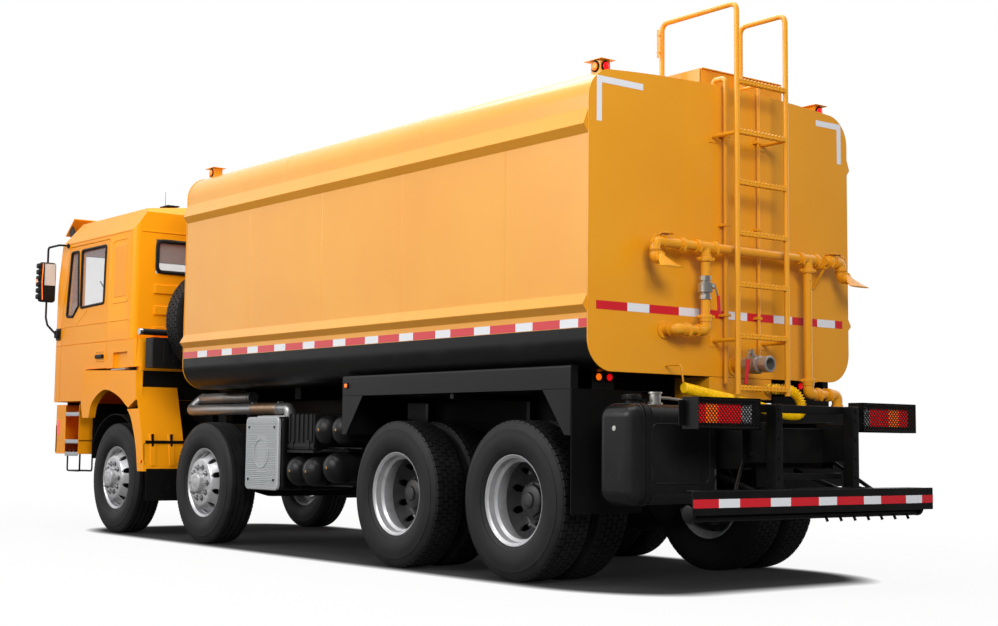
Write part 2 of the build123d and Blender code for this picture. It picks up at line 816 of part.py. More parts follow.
save(rear_mudguards, "rear_mudguards")

fender_inner = 830
fender_outer = 1250
fender_front_face = axle_1 + 626
fender_foot = axle_1 + 775
fender_sheet = 16
fender_top = 1385
fender_bottom = 600
with BuildPart() as front_fenders:
    for side in SIDES.values():
        sheet = [
            (fender_front_face, fender_top),
            (axle_1 + 660, 1100),
            (axle_1 + 720, 850),
            (fender_foot, fender_bottom),
            (fender_foot - fender_sheet, fender_bottom),
            (axle_1 + 720 - fender_sheet, 850),
            (axle_1 + 660 - fender_sheet, 1100),
            (fender_front_face - fender_sheet + 6, fender_top),
        ]
        side_plate(sheet, side * fender_inner, side * fender_outer)
        skirt = [
            (axle_1 + 380, 1180),
            (axle_1 + 483, 1075),
            (axle_1 + 590, 850),
            (axle_1 + 648, fender_bottom),
            (fender_foot - 5, fender_bottom),
            (axle_1 + 715, 850),
            (axle_1 + 655, 1100),
            (axle_1 + 640, 1180),
        ]
        side_plate(skirt, side * (fender_outer - fender_sheet), side * fender_outer)
        arm_start = (side * (rail_half + seat_gap), axle_1 + 728, 870)
        bar(arm_start, (side * 1200, axle_1 + 728, 870), 16)
save(front_fenders, "front_fenders")

with BuildPart() as mud_flaps:
    for side in SIDES.values():
        flap_front = (side * 850, fender_foot + seat_gap, 330)
        block(flap_front, (side * 1220, fender_foot + 8, fender_bottom + 30))
        rear_low = (side * 620, guard_rear + seat_gap, 460)
        block(rear_low, (side * guard_outer, guard_rear + 8, guard_z))
save(mud_flaps, "mud_flaps")

# ---------------------------------------------------------------- front bumper and entry steps
bumper_nose = front_end
bumper_corner_y = axle_1 - 1380
front_bumper_half = 1225
front_bumper_bottom = 620
front_bumper_top = 1040
bumper_wall = 60
step_back = axle_1 - 780
step_bottom = 755
step_top = 1237
plate_bolt_radius = 3.5
plate_bolt_spacing = 220
plate_z = 740
with BuildPart() as front_bumper:
    with BuildSketch(Plane.XY.offset(front_bumper_bottom)):
        with BuildLine():
            left = (front_bumper_half, bumper_corner_y)
            right = (-front_bumper_half, bumper_corner_y)
            ThreePointArc(right, (0, bumper_nose), left)
            Line(left, (front_bumper_half, bumper_corner_y + bumper_wall))
            inner_left = (front_bumper_half, bumper_corner_y + bumper_wall)
            inner_right = (-front_bumper_half, bumper_corner_y + bumper_wall)
            ThreePointArc(inner_left, (0, bumper_nose + bumper_wall), inner_right)
            Line(inner_right, right)
        make_face()
    extrude(amount=front_bumper_top - front_bumper_bottom)
    for side in SIDES.values():
        bracket_low = (side * 350, bumper_nose + 50, 800)
        block(bracket_low, (side * 425, rail_front - seat_gap, 1000))
        skin = side * front_bumper_half
        liner = side * 980
        block((liner, bumper_corner_y + 20, step_bottom), (liner + side * 20, step_back, step_top))
        block((skin, bumper_corner_y + 20, step_bottom), (skin - side * 20, axle_1 - 1130, step_top))
        block((liner, bumper_corner_y + 20, step_bottom), (skin, bumper_corner_y + 45, step_top))
        block((liner, step_back, step_bottom), (skin, step_back - 20, step_top))
        for tread_z in (step_bottom + 5, 885, 1160):
            tread_low = (liner, bumper_corner_y + 20, tread_z - 20)
            block(tread_low, (skin, step_back, tread_z))
        for wire_x in (side * 1060, side * 1190):
            wire = [
                (wire_x, axle_1 - 1120, step_bottom - 10),
                (wire_x, axle_1 - 1120, 570),
                (wire_x, axle_1 - 810, 570),
                (wire_x, axle_1 - 810, step_bottom - 10),
            ]
            bent_bar(wire, 30, 9)
    holes_plane = Plane(origin=(0, bumper_nose, plate_z), x_dir=(1, 0, 0), z_dir=(0, -1, 0))
    with BuildSketch(holes_plane):
        with GridLocations(plate_bolt_spacing, 0, 2, 1):
            Circle(plate_bolt_radius)
    extrude(amount=-bumper_wall - 5, mode=Mode.SUBTRACT)
save(front_bumper, "front_bumper")

# ---------------------------------------------------------------- equipment behind the cab
box_front = axle_1 + 640
box_rear = axle_1 + 800
spare_x = 610
spare_z = 2000
spare_y = axle_1 + 1010
with BuildPart() as air_intake_box:
    block((-1200, box_front, 1560), (1200, box_rear, 1840))
    for side in SIDES.values():
        block((side * 355, box_front, rail_top + seat_gap), (side * 425, box_rear, 1560))
        block((side * 900, axle_1 + 590, 1835), (side * 940, axle_1 + 660, 1895))
    bar((-1250, axle_1 + 605, 1900), (1250, axle_1 + 605, 1900), 30)
save(air_intake_box, "air_intake_box")

with BuildPart() as spare_wheel:
    spare_plane = Plane(origin=(spare_x, spare_y, spare_z), x_dir=(0, 1, 0), z_dir=(1, 0, 0))
    spare_axis = Axis((spare_x, spare_y, spare_z), (0, 1, 0))
    for ring in (TYRE_RING, RIM_RING):
        with BuildSketch(spare_plane):
            with BuildLine():
                Polyline(*ring, close=True)
            make_face()
        revolve(axis=spare_axis)
    disc_y = spare_y + 100
    bar((spare_x, disc_y, spare_z), (spare_x, disc_y + 12, spare_z), rim_seat_radius - 2)
    bar((spare_x, disc_y + 10, spare_z), (spare_x, disc_y + 130, spare_z), 60)
    for side in SIDES.values():
        post = side * 390
        block((post - 35, disc_y + 90, rail_top + seat_gap), (post + 35, disc_y + 160, 2150))
    block((-425, disc_y + 100, 1900), (spare_x + 80, disc_y + 150, 2100))
save(spare_wheel, "spare_wheel")

# ---------------------------------------------------------------- cab pivots and rear rests
pivot_x = 400
pivot_radius = 15
ear_inner = 31
ear_outer = 55
with BuildPart() as cab_mounts:
    for side in SIDES.values():
        for near, far in ((ear_inner, ear_outer), (-ear_outer, -ear_inner)):
            low = (side * pivot_x + near, cab_pivot_y - 18, rail_top + seat_gap)
            block(low, (side * pivot_x + far, rail_front + 140, cab_pivot_z + 18))
        base_low = (side * pivot_x - ear_outer, rail_front - 60, rail_top + seat_gap)
        block(base_low, (side * pivot_x + ear_outer, rail_front + 140, rail_top + 22))
        pin_start = (side * pivot_x - ear_outer, cab_pivot_y, cab_pivot_z)
        bar(pin_start, (side * pivot_x + ear_outer, cab_pivot_y, cab_pivot_z), pivot_radius)
        rest_low = (side * 360, axle_1 + 270, rail_top + seat_gap)
        block(rest_low, (side * 425, axle_1 + 340, cab_floor - seat_gap))
save(cab_mounts, "cab_mounts")

# ---------------------------------------------------------------- cab shell
cab_low_back = axle_1 + 540
cab_step_z = 1845
screen_top_y = axle_1 - 1300
roof_front_y = axle_1 - 1120
roof_back_y = axle_1 + 300
front_corner = 130
rear_corner = 70


def cab_hull(inset, bottom):
    """The cab's outer form, every face moved inwards by inset, from bottom upwards."""
    step_z = cab_step_z - inset
    stages = ((cab_low_back, bottom, step_z), (cab_back, step_z, roof_crown))
    side_view = [
        (cab_front + inset, bottom),
        (cab_front + inset, cab_belt),
        (screen_top_y + inset, roof_seam - inset / 2),
        (roof_front_y + inset / 2, roof_crown - inset),
        (roof_back_y, roof_crown - inset),
        (cab_back - inset, roof_edge - 40 - inset),
        (cab_back - inset, step_z),
        (cab_low_back - inset, step_z),
        (cab_low_back - inset, bottom),
    ]
    front_view = [
        (cab_half - inset, bottom),
        (cab_half - inset, roof_seam - inset / 2),
        (roof_edge_half - inset / 2, roof_edge - inset),
        (500, roof_crown - inset),
    ]
    front_view = front_view + [(-x, z) for x, z in reversed(front_view)]
    with BuildPart() as hull:
        for back, z_from, z_to in stages:
            with BuildSketch(Plane.XY.offset(z_from)) as plan:
                with Locations((0, (cab_front + back) / 2)):
                    Rectangle(2 * (cab_half - inset), back - cab_front - 2 * inset)
                front_corners = plan.vertices().group_by(Axis.Y)[0]
                fillet(front_corners, front_corner - inset)
                fillet(plan.vertices().group_by(Axis.Y)[-1], rear_corner - inset)
            extrude(amount=z_to - z_from)
        side_plate(side_view, -cab_half, cab_half, Mode.INTERSECT)
        cross_plate(front_view, cab_front, cab_low_back, Mode.INTERSECT)
    return hull.part


door_front = axle_1 - 1260
door_rear = axle_1 - 140
door_top = 2842
DOOR_OUTLINE = [
    (door_front, cab_skirt),
    (door_front, 2100),
    (door_front + 165, door_top),
    (door_rear, door_top),
    (door_rear, 1580),
    (axle_1 - 620, 1580),
    (axle_1 - 665, cab_skirt),
]
# Door glass outlines in Y and Z: fixed quarter light and main window
DOOR_PANES = (
    [
        (axle_1 - 1137, 2137),
        (axle_1 - 983, 2128),
        (axle_1 - 845, 2231),
        (axle_1 - 881, 2790),
        (axle_1 - 1050, 2790),
    ],
    [
        (axle_1 - 793, 2208),
        (axle_1 - 233, 2222),
        (axle_1 - 211, 2790),
        (axle_1 - 793, 2790),
    ],
)
screen_rise = roof_seam - cab_belt
screen_lean = screen_top_y - cab_front
screen_plane = Plane(
    origin=(0, (cab_front + screen_top_y) / 2, (cab_belt + roof_seam) / 2),
    x_dir=(1, 0, 0),
    z_dir=(0, -screen_rise, screen_lean),
)
screen_half = 1030
screen_height = 800
screen_corner = 60
rear_window_half = 1020
rear_window_bottom = 2480
rear_window_top = 2810
arch_cover_top = 1570
arch_cover_out = 25
ARCH_COVER = [
    (axle_1 - 650, 1250),
    (axle_1 - 611, arch_cover_top),
    (axle_1 + 600, arch_cover_top - 35),
    (axle_1 + 600, 1260),
    (axle_1 + 450, 1190),
    (axle_1 + 200, 1310),
    (axle_1 - 110, 1367),
    (axle_1 - 380, 1250),
    (axle_1 - 460, 1100),
    (axle_1 - 600, 1100),
]


def outline_through_wall(points, grow, x_from, x_to, mode):
    """Extrude a Y and Z outline, moved outwards by grow, between two X planes."""
    with BuildSketch(Plane.YZ.offset(x_from)) as outline:
        with BuildLine():
            Polyline(*points, close=True)
        make_face()
        if grow:
            offset(amount=grow, kind=Kind.INTERSECTION)
    extrude(outline.sketch, amount=x_to - x_from, mode=mode)


wall_in = cab_half - cab_wall
cab_form = cab_hull(0, cab_skirt)
cab_hollow = cab_hull(cab_wall, cab_floor + cab_wall)
with BuildPart() as cab_shell:
    add(cab_form)
    add(cab_hollow, mode=Mode.SUBTRACT)
    hollow_low = (-wall_in, cab_front + cab_wall, cab_skirt - 1)
    block(hollow_low, (wall_in, cab_low_back - cab_wall, cab_floor), Mode.SUBTRACT)
    for side in SIDES.values():
        inside = side * (wall_in - seat_gap)
        outside = side * (cab_half + 1)
        outline_through_wall(DOOR_OUTLINE, door_gap, inside, outside, Mode.SUBTRACT)
        arch_low = (inside, axle_1 - 665, cab_skirt - 1)
        block(arch_low, (outside, cab_low_back + 1, arch_cover_top + 5), Mode.SUBTRACT)
        cover_in = side * (wall_in - 5)
        side_plate(ARCH_COVER, cover_in, side * (cab_half + arch_cover_out))
        lug_low = (side * (pivot_x - 30), cab_pivot_y - 20, cab_pivot_z - 20)
        block(lug_low, (side * (pivot_x + 30), cab_pivot_y + 20, cab_floor))
        lug_bore = pivot_radius + running_gap
        bore_start = (side * (pivot_x - 31), cab_pivot_y, cab_pivot_z)
        bar(bore_start, (side * (pivot_x + 31), cab_pivot_y, cab_pivot_z), lug_bore, Mode.SUBTRACT)
    with BuildSketch(screen_plane):
        RectangleRounded(2 * screen_half, screen_height, screen_corner)
    extrude(amount=2 * cab_wall, both=True, mode=Mode.SUBTRACT)
    window_low = (-rear_window_half, cab_back - cab_wall - 1, rear_window_bottom)
    block(window_low, (rear_window_half, cab_back + 1, rear_window_top), Mode.SUBTRACT)
save(cab_shell, "cab_shell")

with BuildPart() as cab_glass:
    with BuildSketch(screen_plane.offset(-16)):
        glass_width = 2 * (screen_half - seat_gap)
        RectangleRounded(glass_width, screen_height - 2 * seat_gap, screen_corner - seat_gap)
    extrude(amount=glass_thickness)
    pane_low = (-rear_window_half + seat_gap, cab_back - 20, rear_window_bottom + seat_gap)
    pane_high = (rear_window_half - seat_gap, cab_back - 14, rear_window_top - seat_gap)
    block(pane_low, pane_high)
save(cab_glass, "cab_glass")

for side_name, side in SIDES.items():
    with BuildPart() as door:
        outline_through_wall(DOOR_OUTLINE, 0, side * wall_in, side * cab_half, Mode.ADD)
        for pane in DOOR_PANES:
            outline_through_wall(pane, 0, side * (wall_in - 1), side * (cab_half + 1), Mode.SUBTRACT)
    save(door, f"door_{side_name}")

    with BuildPart() as door_glass:
        glass_x = side * (cab_half - 20)
        for pane in DOOR_PANES:
            glass_out = glass_x + side * glass_thickness
            outline_through_wall(pane, -seat_gap, glass_x, glass_out, Mode.ADD)
    save(door_glass, f"door_glass_{side_name}")

# ---------------------------------------------------------------- cab front, visor and mirrors
grille_half = 1050
grille_bottom = 1150
grille_top = 1900
with BuildPart() as front_grille:
    low = (-grille_half, cab_front - 20, grille_bottom)
    block(low, (grille_half, cab_front - seat_gap, grille_top))
save(front_grille, "front_grille")

visor_half = 1120
visor_front_y = axle_1 - 1555
visor_back_y = axle_1 - 1340
visor_low_z = 3030
visor_high_z = 3190
with BuildPart() as sun_visor:
    blade = [
        (visor_front_y, visor_low_z),
        (visor_back_y, visor_high_z),
        (visor_back_y + 8, visor_high_z - 10),
        (visor_front_y + 8, visor_low_z - 10),
    ]
    side_plate(blade, -visor_half, visor_half)
    slope_start = Vector(0, screen_top_y, roof_seam)
    slope = Vector(0, roof_front_y, roof_crown) - slope_start
    outwards = Vector(0, -slope.Z, slope.Y).normalized() * seat_gap
    foot = slope_start + slope * 0.1 + outwards
    head = slope_start + slope * 0.85 + outwards
    bracket = [
        (foot.Y, foot.Z),
        (visor_front_y + 20, visor_low_z),
        (visor_back_y, visor_high_z - 8),
        (head.Y, head.Z),
    ]
    for bracket_x in (-900, -300, 300, 900):
        side_plate(bracket, bracket_x - 6, bracket_x + 6)
save(sun_visor, "sun_visor")

mirror_x = 1345
mirror_y = axle_1 - 1450
mirror_bottom = 2300
mirror_top = 2720
mirror_arm_radius = 11
with BuildPart() as mirrors:
    for side in SIDES.values():
        wall_x = side * (cab_half + seat_gap)
        arm_x = side * mirror_x
        upper = [
            (wall_x, axle_1 - 1150, 2872),
            (arm_x, axle_1 - 1150, 2872),
            (arm_x, mirror_y, 2872),
            (arm_x, mirror_y, mirror_top - 5),
        ]
        bent_bar(upper, 40, mirror_arm_radius)
        mount_low = (wall_x, axle_1 - 1370, 1925)
        block(mount_low, (wall_x + side * 40, axle_1 - 1290, 2005))
        lower = [
            (wall_x + side * 35, axle_1 - 1330, 1965),
            (arm_x, axle_1 - 1400, 2060),
            (arm_x, mirror_y, 2140),
            (arm_x, mirror_y, mirror_bottom + 5),
        ]
        bent_bar(lower, 30, mirror_arm_radius)
        head_low = (side * 1252, mirror_y - 55, mirror_bottom)
        block(head_low, (side * 1455, mirror_y + 35, mirror_top))
save(mirrors, "mirrors")

# ---------------------------------------------------------------- cab interior
seat_x = 550
floor_top = cab_floor + cab_wall
cushion_front = axle_1 - 550
cushion_rear = axle_1 - 50
with BuildPart() as seats:
    for side in SIDES.values():
        middle = side * seat_x
        base_low = (middle - 180, cushion_front + 60, floor_top + seat_gap)
        block(base_low, (middle + 180, cushion_rear - 40, 1800))
        block((middle - 250, cushion_front, 1800), (middle + 250, cushion_rear, 1930))
        block((middle - 240, cushion_rear - 10, 1850), (middle + 240, cushion_rear + 110, 2560))
    bunk_low = (-1150, axle_1 + 120, floor_top + seat_gap)
    block(bunk_low, (1150, cab_back - cab_wall - seat_gap, 1900))
save(seats, "seats")

wheel_centre = Vector(seat_x, axle_1 - 850, 2130)
column_axis = Vector(0, 0.5, 0.866)
steering_wheel_radius = 225
hub_half = 18
with BuildPart() as dashboard:
    dash_low = (-1100, cab_front + cab_wall + seat_gap, 1740)
    block(dash_low, (1100, axle_1 - 1110, 1930))
    slope_outline = [
        (cab_front + cab_wall + seat_gap, 1930),
        (axle_1 - 1110, 1930),
        (axle_1 - 1200, 1990),
        (axle_1 - 1380, 1990),
        (cab_front + cab_wall + seat_gap + 12, 1945),
    ]
    side_plate(slope_outline, -1100, 1100)
    drop = (wheel_centre.Z - hub_half * column_axis.Z - floor_top - 14) / column_axis.Z
    column_top = wheel_centre - column_axis * (hub_half + seat_gap)
    column_foot = column_top - column_axis * drop
    bar(tuple(column_foot), tuple(column_top), 22)
    boot_low = (seat_x - 70, column_foot.Y - 70, floor_top + seat_gap)
    block(boot_low, (seat_x + 70, column_foot.Y + 70, floor_top + 40))
save(dashboard, "dashboard")

with BuildPart() as steering_wheel:
    wheel_plane = Plane(origin=wheel_centre, x_dir=(1, 0, 0), z_dir=column_axis)
    with Locations(wheel_plane):
        Torus(steering_wheel_radius, 15)
        Cylinder(45, 2 * hub_half)
    with BuildSketch(wheel_plane):
        with PolarLocations(0, 3, start_angle=30):
            with Locations((steering_wheel_radius / 2, 0)):
                Rectangle(steering_wheel_radius, 34)
    extrude(amount=6, both=True)
save(steering_wheel, "steering_wheel")
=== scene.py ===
from math import cos, pi, radians, sin, tan, tau

import bmesh
import bpy
from mathutils import Matrix, Vector


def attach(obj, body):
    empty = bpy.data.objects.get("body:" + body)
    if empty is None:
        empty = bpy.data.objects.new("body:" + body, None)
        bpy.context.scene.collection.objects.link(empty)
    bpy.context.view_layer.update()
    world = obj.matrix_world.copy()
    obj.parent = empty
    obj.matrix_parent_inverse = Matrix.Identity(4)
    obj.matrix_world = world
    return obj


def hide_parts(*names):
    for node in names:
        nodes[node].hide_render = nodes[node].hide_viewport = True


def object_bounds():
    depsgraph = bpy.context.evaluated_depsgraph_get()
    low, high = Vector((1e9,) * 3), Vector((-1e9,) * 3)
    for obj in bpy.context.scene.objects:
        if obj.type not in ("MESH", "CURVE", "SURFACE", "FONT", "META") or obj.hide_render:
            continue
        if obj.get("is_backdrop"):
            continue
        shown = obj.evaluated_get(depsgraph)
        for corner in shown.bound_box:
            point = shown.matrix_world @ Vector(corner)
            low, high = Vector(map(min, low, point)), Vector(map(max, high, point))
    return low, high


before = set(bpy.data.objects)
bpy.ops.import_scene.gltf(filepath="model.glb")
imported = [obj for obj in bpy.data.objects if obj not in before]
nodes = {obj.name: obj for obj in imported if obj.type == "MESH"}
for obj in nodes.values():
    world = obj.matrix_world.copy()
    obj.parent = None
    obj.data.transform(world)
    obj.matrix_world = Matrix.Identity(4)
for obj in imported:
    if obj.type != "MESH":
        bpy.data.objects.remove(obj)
cad_low, cad_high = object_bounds()
scene = bpy.context.scene
scene.view_settings.view_transform = "Standard"
SIDES = {"left": 1, "right": -1}

# ---------------------------------------------------------------- camera
# A long lens at chest height behind the truck's left rear corner. It looks slightly up, and its
# picture is shifted a little, as on a view camera, so that the wheels stay in the frame.
camera_yaw = 0.6649
camera_pitch = 0.0956
camera_roll = 0.0108
camera_place = Vector((7.4842, 10.932, 0.8983))
ahead = Vector(
    (-sin(camera_yaw) * cos(camera_pitch), -cos(camera_yaw) * cos(camera_pitch), sin(camera_pitch))
)
level_right = ahead.cross(Vector((0, 0, 1))).normalized()
level_up = level_right.cross(ahead)
picture_right = cos(camera_roll) * level_right + sin(camera_roll) * level_up
picture_up = -sin(camera_roll) * level_right + cos(camera_roll) * level_up
camera_data = bpy.data.cameras.new("camera")
camera_data.sensor_width = 36
camera_data.lens = 55.55
camera_data.shift_y = -0.018
camera = bpy.data.objects.new("camera", camera_data)
turn = Matrix((picture_right, picture_up, -ahead)).transposed().to_4x4()
camera.matrix_world = Matrix.Translation(camera_place) @ turn
scene.collection.objects.link(camera)
scene.camera = camera


# ---------------------------------------------------------------- finishes
# Every material is a principled shader. A Wire is one socket, and arithmetic on wires adds Math
# nodes, so that a finish reads as a sum.
def tone(red, green, blue):
    """A screen colour from 0 to 255 as the linear colour that a shader takes."""
    linear = [
        c / 12.92 if c <= 0.04045 else ((c + 0.055) / 1.055) ** 2.4
        for c in (red / 255, green / 255, blue / 255)
    ]
    return (*linear, 1.0)


class Wire:
    """One output of a node tree, with arithmetic."""

    def __init__(self, tree, socket):
        self.tree = tree
        self.socket = socket

    def math(self, operation, *others):
        ports = dict(enumerate((self, *others)))
        return add_node(self.tree, "ShaderNodeMath", {"operation": operation}, ports)

    def __add__(self, other):
        return self.math("ADD", other)

    def __mul__(self, other):
        return self.math("MULTIPLY", other)

    def __sub__(self, other):
        return self.math("SUBTRACT", other)

    def __rsub__(self, other):
        return (self * -1.0) + other

    __radd__ = __add__
    __rmul__ = __mul__

    def band(self, low, high):
        """0 below low and 1 above high, with a straight rise between."""
        ports = {"Value": self, "From Min": low, "From Max": high}
        return add_node(self.tree, "ShaderNodeMapRange", {}, ports)


def join(tree, port, value):
    """Sets a socket's value, or links a wire to it."""
    if isinstance(value, Wire):
        tree.links.new(value.socket, port)
    else:
        port.default_value = value


def add_node(tree, kind, settings, ports, output=0):
    """A new node with its settings, then its sockets' values or links, as one output's wire."""
    node = tree.nodes.new(kind)
    for key, value in settings.items():
        setattr(node, key, value)
    for key, value in ports.items():
        join(tree, node.inputs[key], value)
    return Wire(tree, node.outputs[output])


class Finish:
    """A material with one principled shader, and the name of a slot that it keeps."""

    def __init__(self, name, slot, colour, roughness=0.5, **values):
        self.slot = slot
        self.material = bpy.data.materials.new(name)
        self.material.use_nodes = True
        self.tree = self.material.node_tree
        self.shader = self.tree.nodes["Principled BSDF"]
        self.place = self.add("ShaderNodeTexCoord", {}, "Object")
        self.set("Base Color", colour)
        self.set("Roughness", roughness)
        for socket, value in values.items():
            self.set(socket.replace("_", " ").title().replace("Ior", "IOR"), value)

    def set(self, socket, value):
        join(self.tree, self.shader.inputs[socket], value)

    def add(self, kind, ports, output=0):
        return add_node(self.tree, kind, {}, ports, output)

    def noise(self, scale, detail=2.0, rough=0.5):
        """Cloudy noise from 0 to 1 over the object, scale in cells a metre."""
        ports = {"Vector": self.place, "Scale": scale, "Detail": detail, "Roughness": rough}
        return self.add("ShaderNodeTexNoise", ports, "Fac")

    def cells(self, scale):
        """Distance to the middle of small cells over the object, scale in cells a metre."""
        ports = {"Vector": self.place, "Scale": scale}
        return self.add("ShaderNodeTexVoronoi", ports, "Distance")

    def axis(self, letter):
        """The object coordinate X, Y or Z in metres."""
        return self.add("ShaderNodeSeparateXYZ", {"Vector": self.place}, letter)

    def blend(self, mask, first, second):
        """first where mask is 0 and second where it is 1, as colours."""
        ports = {0: mask, 6: first, 7: second}
        return add_node(self.tree, "ShaderNodeMix", {"data_type": "RGBA"}, ports, 2)

    def bump(self, height, distance):
        """Bump from a height wire, its full step given in metres."""
        ports = {"Height": height, "Distance": distance, "Strength": 1.0}
        self.set("Normal", self.add("ShaderNodeBump", ports, "Normal"))


def gloss_paint(name, slot, colour, shade, roughness, peel=0.00006, coat=0.5, mirror=0.5):
    """Sprayed gloss paint: a slight cloudiness in colour and gloss, and orange peel."""
    paint = Finish(
        name, slot, colour, coat_weight=coat, coat_roughness=0.08, specular_ior_level=mirror
    )
    cloud = paint.noise(1.3, 3.0)
    dust = paint.noise(9.0, 4.0, 0.6)
    paint.set("Base Color", paint.blend(cloud.band(0.35, 0.75), colour, shade))
    paint.set("Roughness", dust * 0.12 + (roughness - 0.06))
    paint.bump(paint.noise(260.0, 1.0) + paint.noise(1.6, 1.0) * 14.0, peel)
    return paint


tank_orange = gloss_paint(
    "tank_orange_paint", "tank_paint", tone(232, 158, 28), tone(228, 150, 20), 0.34
)
cab_orange = gloss_paint(
    "cab_orange_paint", "cab_paint", tone(254, 162, 18), tone(252, 156, 12), 0.34, 0.00003, 0.06,
    0.16,
)


def black_finish(name, slot, level, roughness, grain_scale, grain, dust_level=0.10):
    """Black paint or plastic with a fine grain and a little grey road dust in patches."""
    black = Finish(name, slot, (level, level, level, 1), specular_ior_level=0.2)
    dust = black.noise(5.0, 5.0, 0.65).band(0.45, 0.85)
    grey = (level + 0.03, level + 0.028, level + 0.025, 1)
    black.set("Base Color", black.blend(dust * dust_level, (level, level, level, 1), grey))
    black.set("Roughness", dust * 0.2 + roughness)
    black.bump(black.noise(grain_scale, 2.0), grain)
    return black


black_paint = black_finish("black_chassis_paint", "black_paint", 0.004, 0.32, 120.0, 0.0001)
black_plastic = black_finish("black_moulded_plastic", "black_plastic", 0.010, 0.48, 700.0, 0.00012)
flap_rubber = black_finish("black_flap_rubber", "flap_rubber", 0.004, 0.6, 300.0, 0.0003, 0.05)

# ---------------------------------------------------------------- floor and light
# A white studio floor with a painted shadow: the camera sees a dark patch painted under the truck,
# running out to a white surround that fills the shadows, with a twentieth of a lit floor mixed in
# near the truck. Four soft lights hang overhead, at the left, behind and in front; the last two
# aren't mirrored by the paint.
floor_mesh = bmesh.new()
bmesh.ops.create_grid(floor_mesh, x_segments=1, y_segments=1, size=60.0)
floor_data = bpy.data.meshes.new("floor")
floor_mesh.to_mesh(floor_data)
floor = bpy.data.objects.new("floor", floor_data)
scene.collection.objects.link(floor)
floor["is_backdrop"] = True
WHITE = (1, 1, 1, 1)
shadow_black = (0.008, 0.008, 0.008, 1)
floor_grey = (0.16, 0.16, 0.16, 1)
floor_white = Finish("floor_white", "floor", floor_grey, 0.9, specular_ior_level=0.0)
# The painted shadow's mask: the distance out from the truck's footprint, dark inside it and fading
# to white.
past_side = (floor_white.axis("X").math("ABSOLUTE") - 0.70).math("MAXIMUM", 0.0)
past_end = ((floor_white.axis("Y") - 0.18).math("ABSOLUTE") - 3.15).math("MAXIMUM", 0.0) * 0.6
from_truck = (past_side * past_side + past_end * past_end).math("SQRT")
far_out = from_truck.band(1.0, 6.0)
painted_shadow_fade = from_truck.band(0.48, 0.66).math("POWER", 1.6)
patch = {"Color": floor_white.blend(painted_shadow_fade, shadow_black, WHITE)}
# The emission that the camera sees: the painted shadow patch in black, white round it.
painted_shadow_glow = floor_white.add("ShaderNodeEmission", patch)
lit = floor_white.add("ShaderNodeBsdfDiffuse", {"Color": (0.9, 0.9, 0.9, 1)})
painted = floor_white.add("ShaderNodeMixShader", {0: (1.0 - far_out) * 0.05, 1: painted_shadow_glow, 2: lit})
camera_share = floor_white.add("ShaderNodeLightPath", {}, "Is Camera Ray") * (far_out * 0.03 + 0.97)
plain = Wire(floor_white.tree, floor_white.shader.outputs[0])
shown = floor_white.add("ShaderNodeMixShader", {0: camera_share, 1: plain, 2: painted})
join(floor_white.tree, floor_white.tree.nodes["Material Output"].inputs["Surface"], shown)
floor_data.materials.append(floor_white.material)

world = bpy.data.worlds.new("surround")
scene.world = world
world.use_nodes = True
sky = world.node_tree
fill = sky.nodes["Background"]
join(sky, fill.inputs["Color"], WHITE)
join(sky, fill.inputs["Strength"], 0.45)
heading = add_node(sky, "ShaderNodeTexCoord", {}, {}, "Generated")
rearward = add_node(sky, "ShaderNodeSeparateXYZ", {}, {0: heading}, "Y").band(0.15, 0.65)
seen, mirrored = (
    add_node(sky, "ShaderNodeBackground", {}, {"Color": WHITE, "Strength": strength})
    for strength in (1.0, 1.15 - rearward * 1.05)
)
straight, through, glossy = (
    add_node(sky, "ShaderNodeLightPath", {}, {}, f"Is {kind} Ray")
    for kind in ("Camera", "Transmission", "Glossy")
)
unseen_ports = {0: glossy, 1: Wire(sky, fill.outputs[0]), 2: mirrored}
unseen = add_node(sky, "ShaderNodeMixShader", {}, unseen_ports)
view = add_node(sky, "ShaderNodeMixShader", {}, {0: straight + through, 1: unseen, 2: seen})
join(sky, sky.nodes["World Output"].inputs["Surface"], view)

# Name, place, point it faces, width, height and power in watts
SOFT_LIGHTS = (
    ("overhead_light", (0.5, 0.5, 9.0), (0.0, 0.0, 0.0), 7.0, 12.0, 700.0),
    ("side_light", (9.0, -0.8, 5.2), (0.0, -1.0, 1.6), 8.0, 4.0, 455.0),
    ("rear_light", (5.5, 12.0, 5.5), (0.4, 3.5, 1.6), 4.0, 3.0, 740.0),
    ("front_light", (-6.5, -12.0, 4.5), (0.0, -3.0, 1.6), 7.0, 4.0, 620.0),
)
for light_name, place, target, width, height, power in SOFT_LIGHTS:
    light_data = bpy.data.lights.new(light_name, "AREA")
    light_data.shape = "RECTANGLE"
    light_data.size = width
    light_data.size_y = height
    light_data.energy = power
    light = bpy.data.objects.new(light_name, light_data)
    light.visible_glossy = light_name in ("overhead_light", "side_light")
    direction = Vector(target) - Vector(place)
    light.matrix_world = Matrix.Translation(place) @ direction.to_track_quat(
        "-Z", "Y"
    ).to_matrix().to_4x4()
    scene.collection.objects.link(light)

# ---------------------------------------------------------------- tyres
# Radial truck tyres of black rubber on 22.5 inch rims. The steered axles have ribbed tyres, the
# driven axles and the spare have rows of staggered blocks. Each is turned in one piece.
tyre_radius = 0.525
axle_places = {1: -3.075, 2: -1.275, 3: 1.7, 4: 3.05}
front_wheel_x = 1.05
twin_middle_x = 0.9
twin_offset = 0.16


def dusty(
    name, slot, clean, dirty, roughness, cloud, patch=(0.4, 0.8), share=1.0, rough=0.2, **values
):
    """A finish that turns dirtier and rougher in cloudy patches."""
    finish = Finish(name, slot, clean, **values)
    dust = finish.noise(*cloud).band(*patch)
    finish.set("Base Color", finish.blend(dust * share, clean, dirty))
    finish.set("Roughness", dust * rough + roughness)
    return finish


rubber = dusty(
    "tyre_rubber", "tread_rubber", tone(20, 20, 21), tone(44, 43, 42), 0.5, (7.0, 5.0, 0.7),
    share=0.5, specular_ior_level=0.24,
)
rubber.bump(rubber.noise(420.0, 2.0), 0.0003)


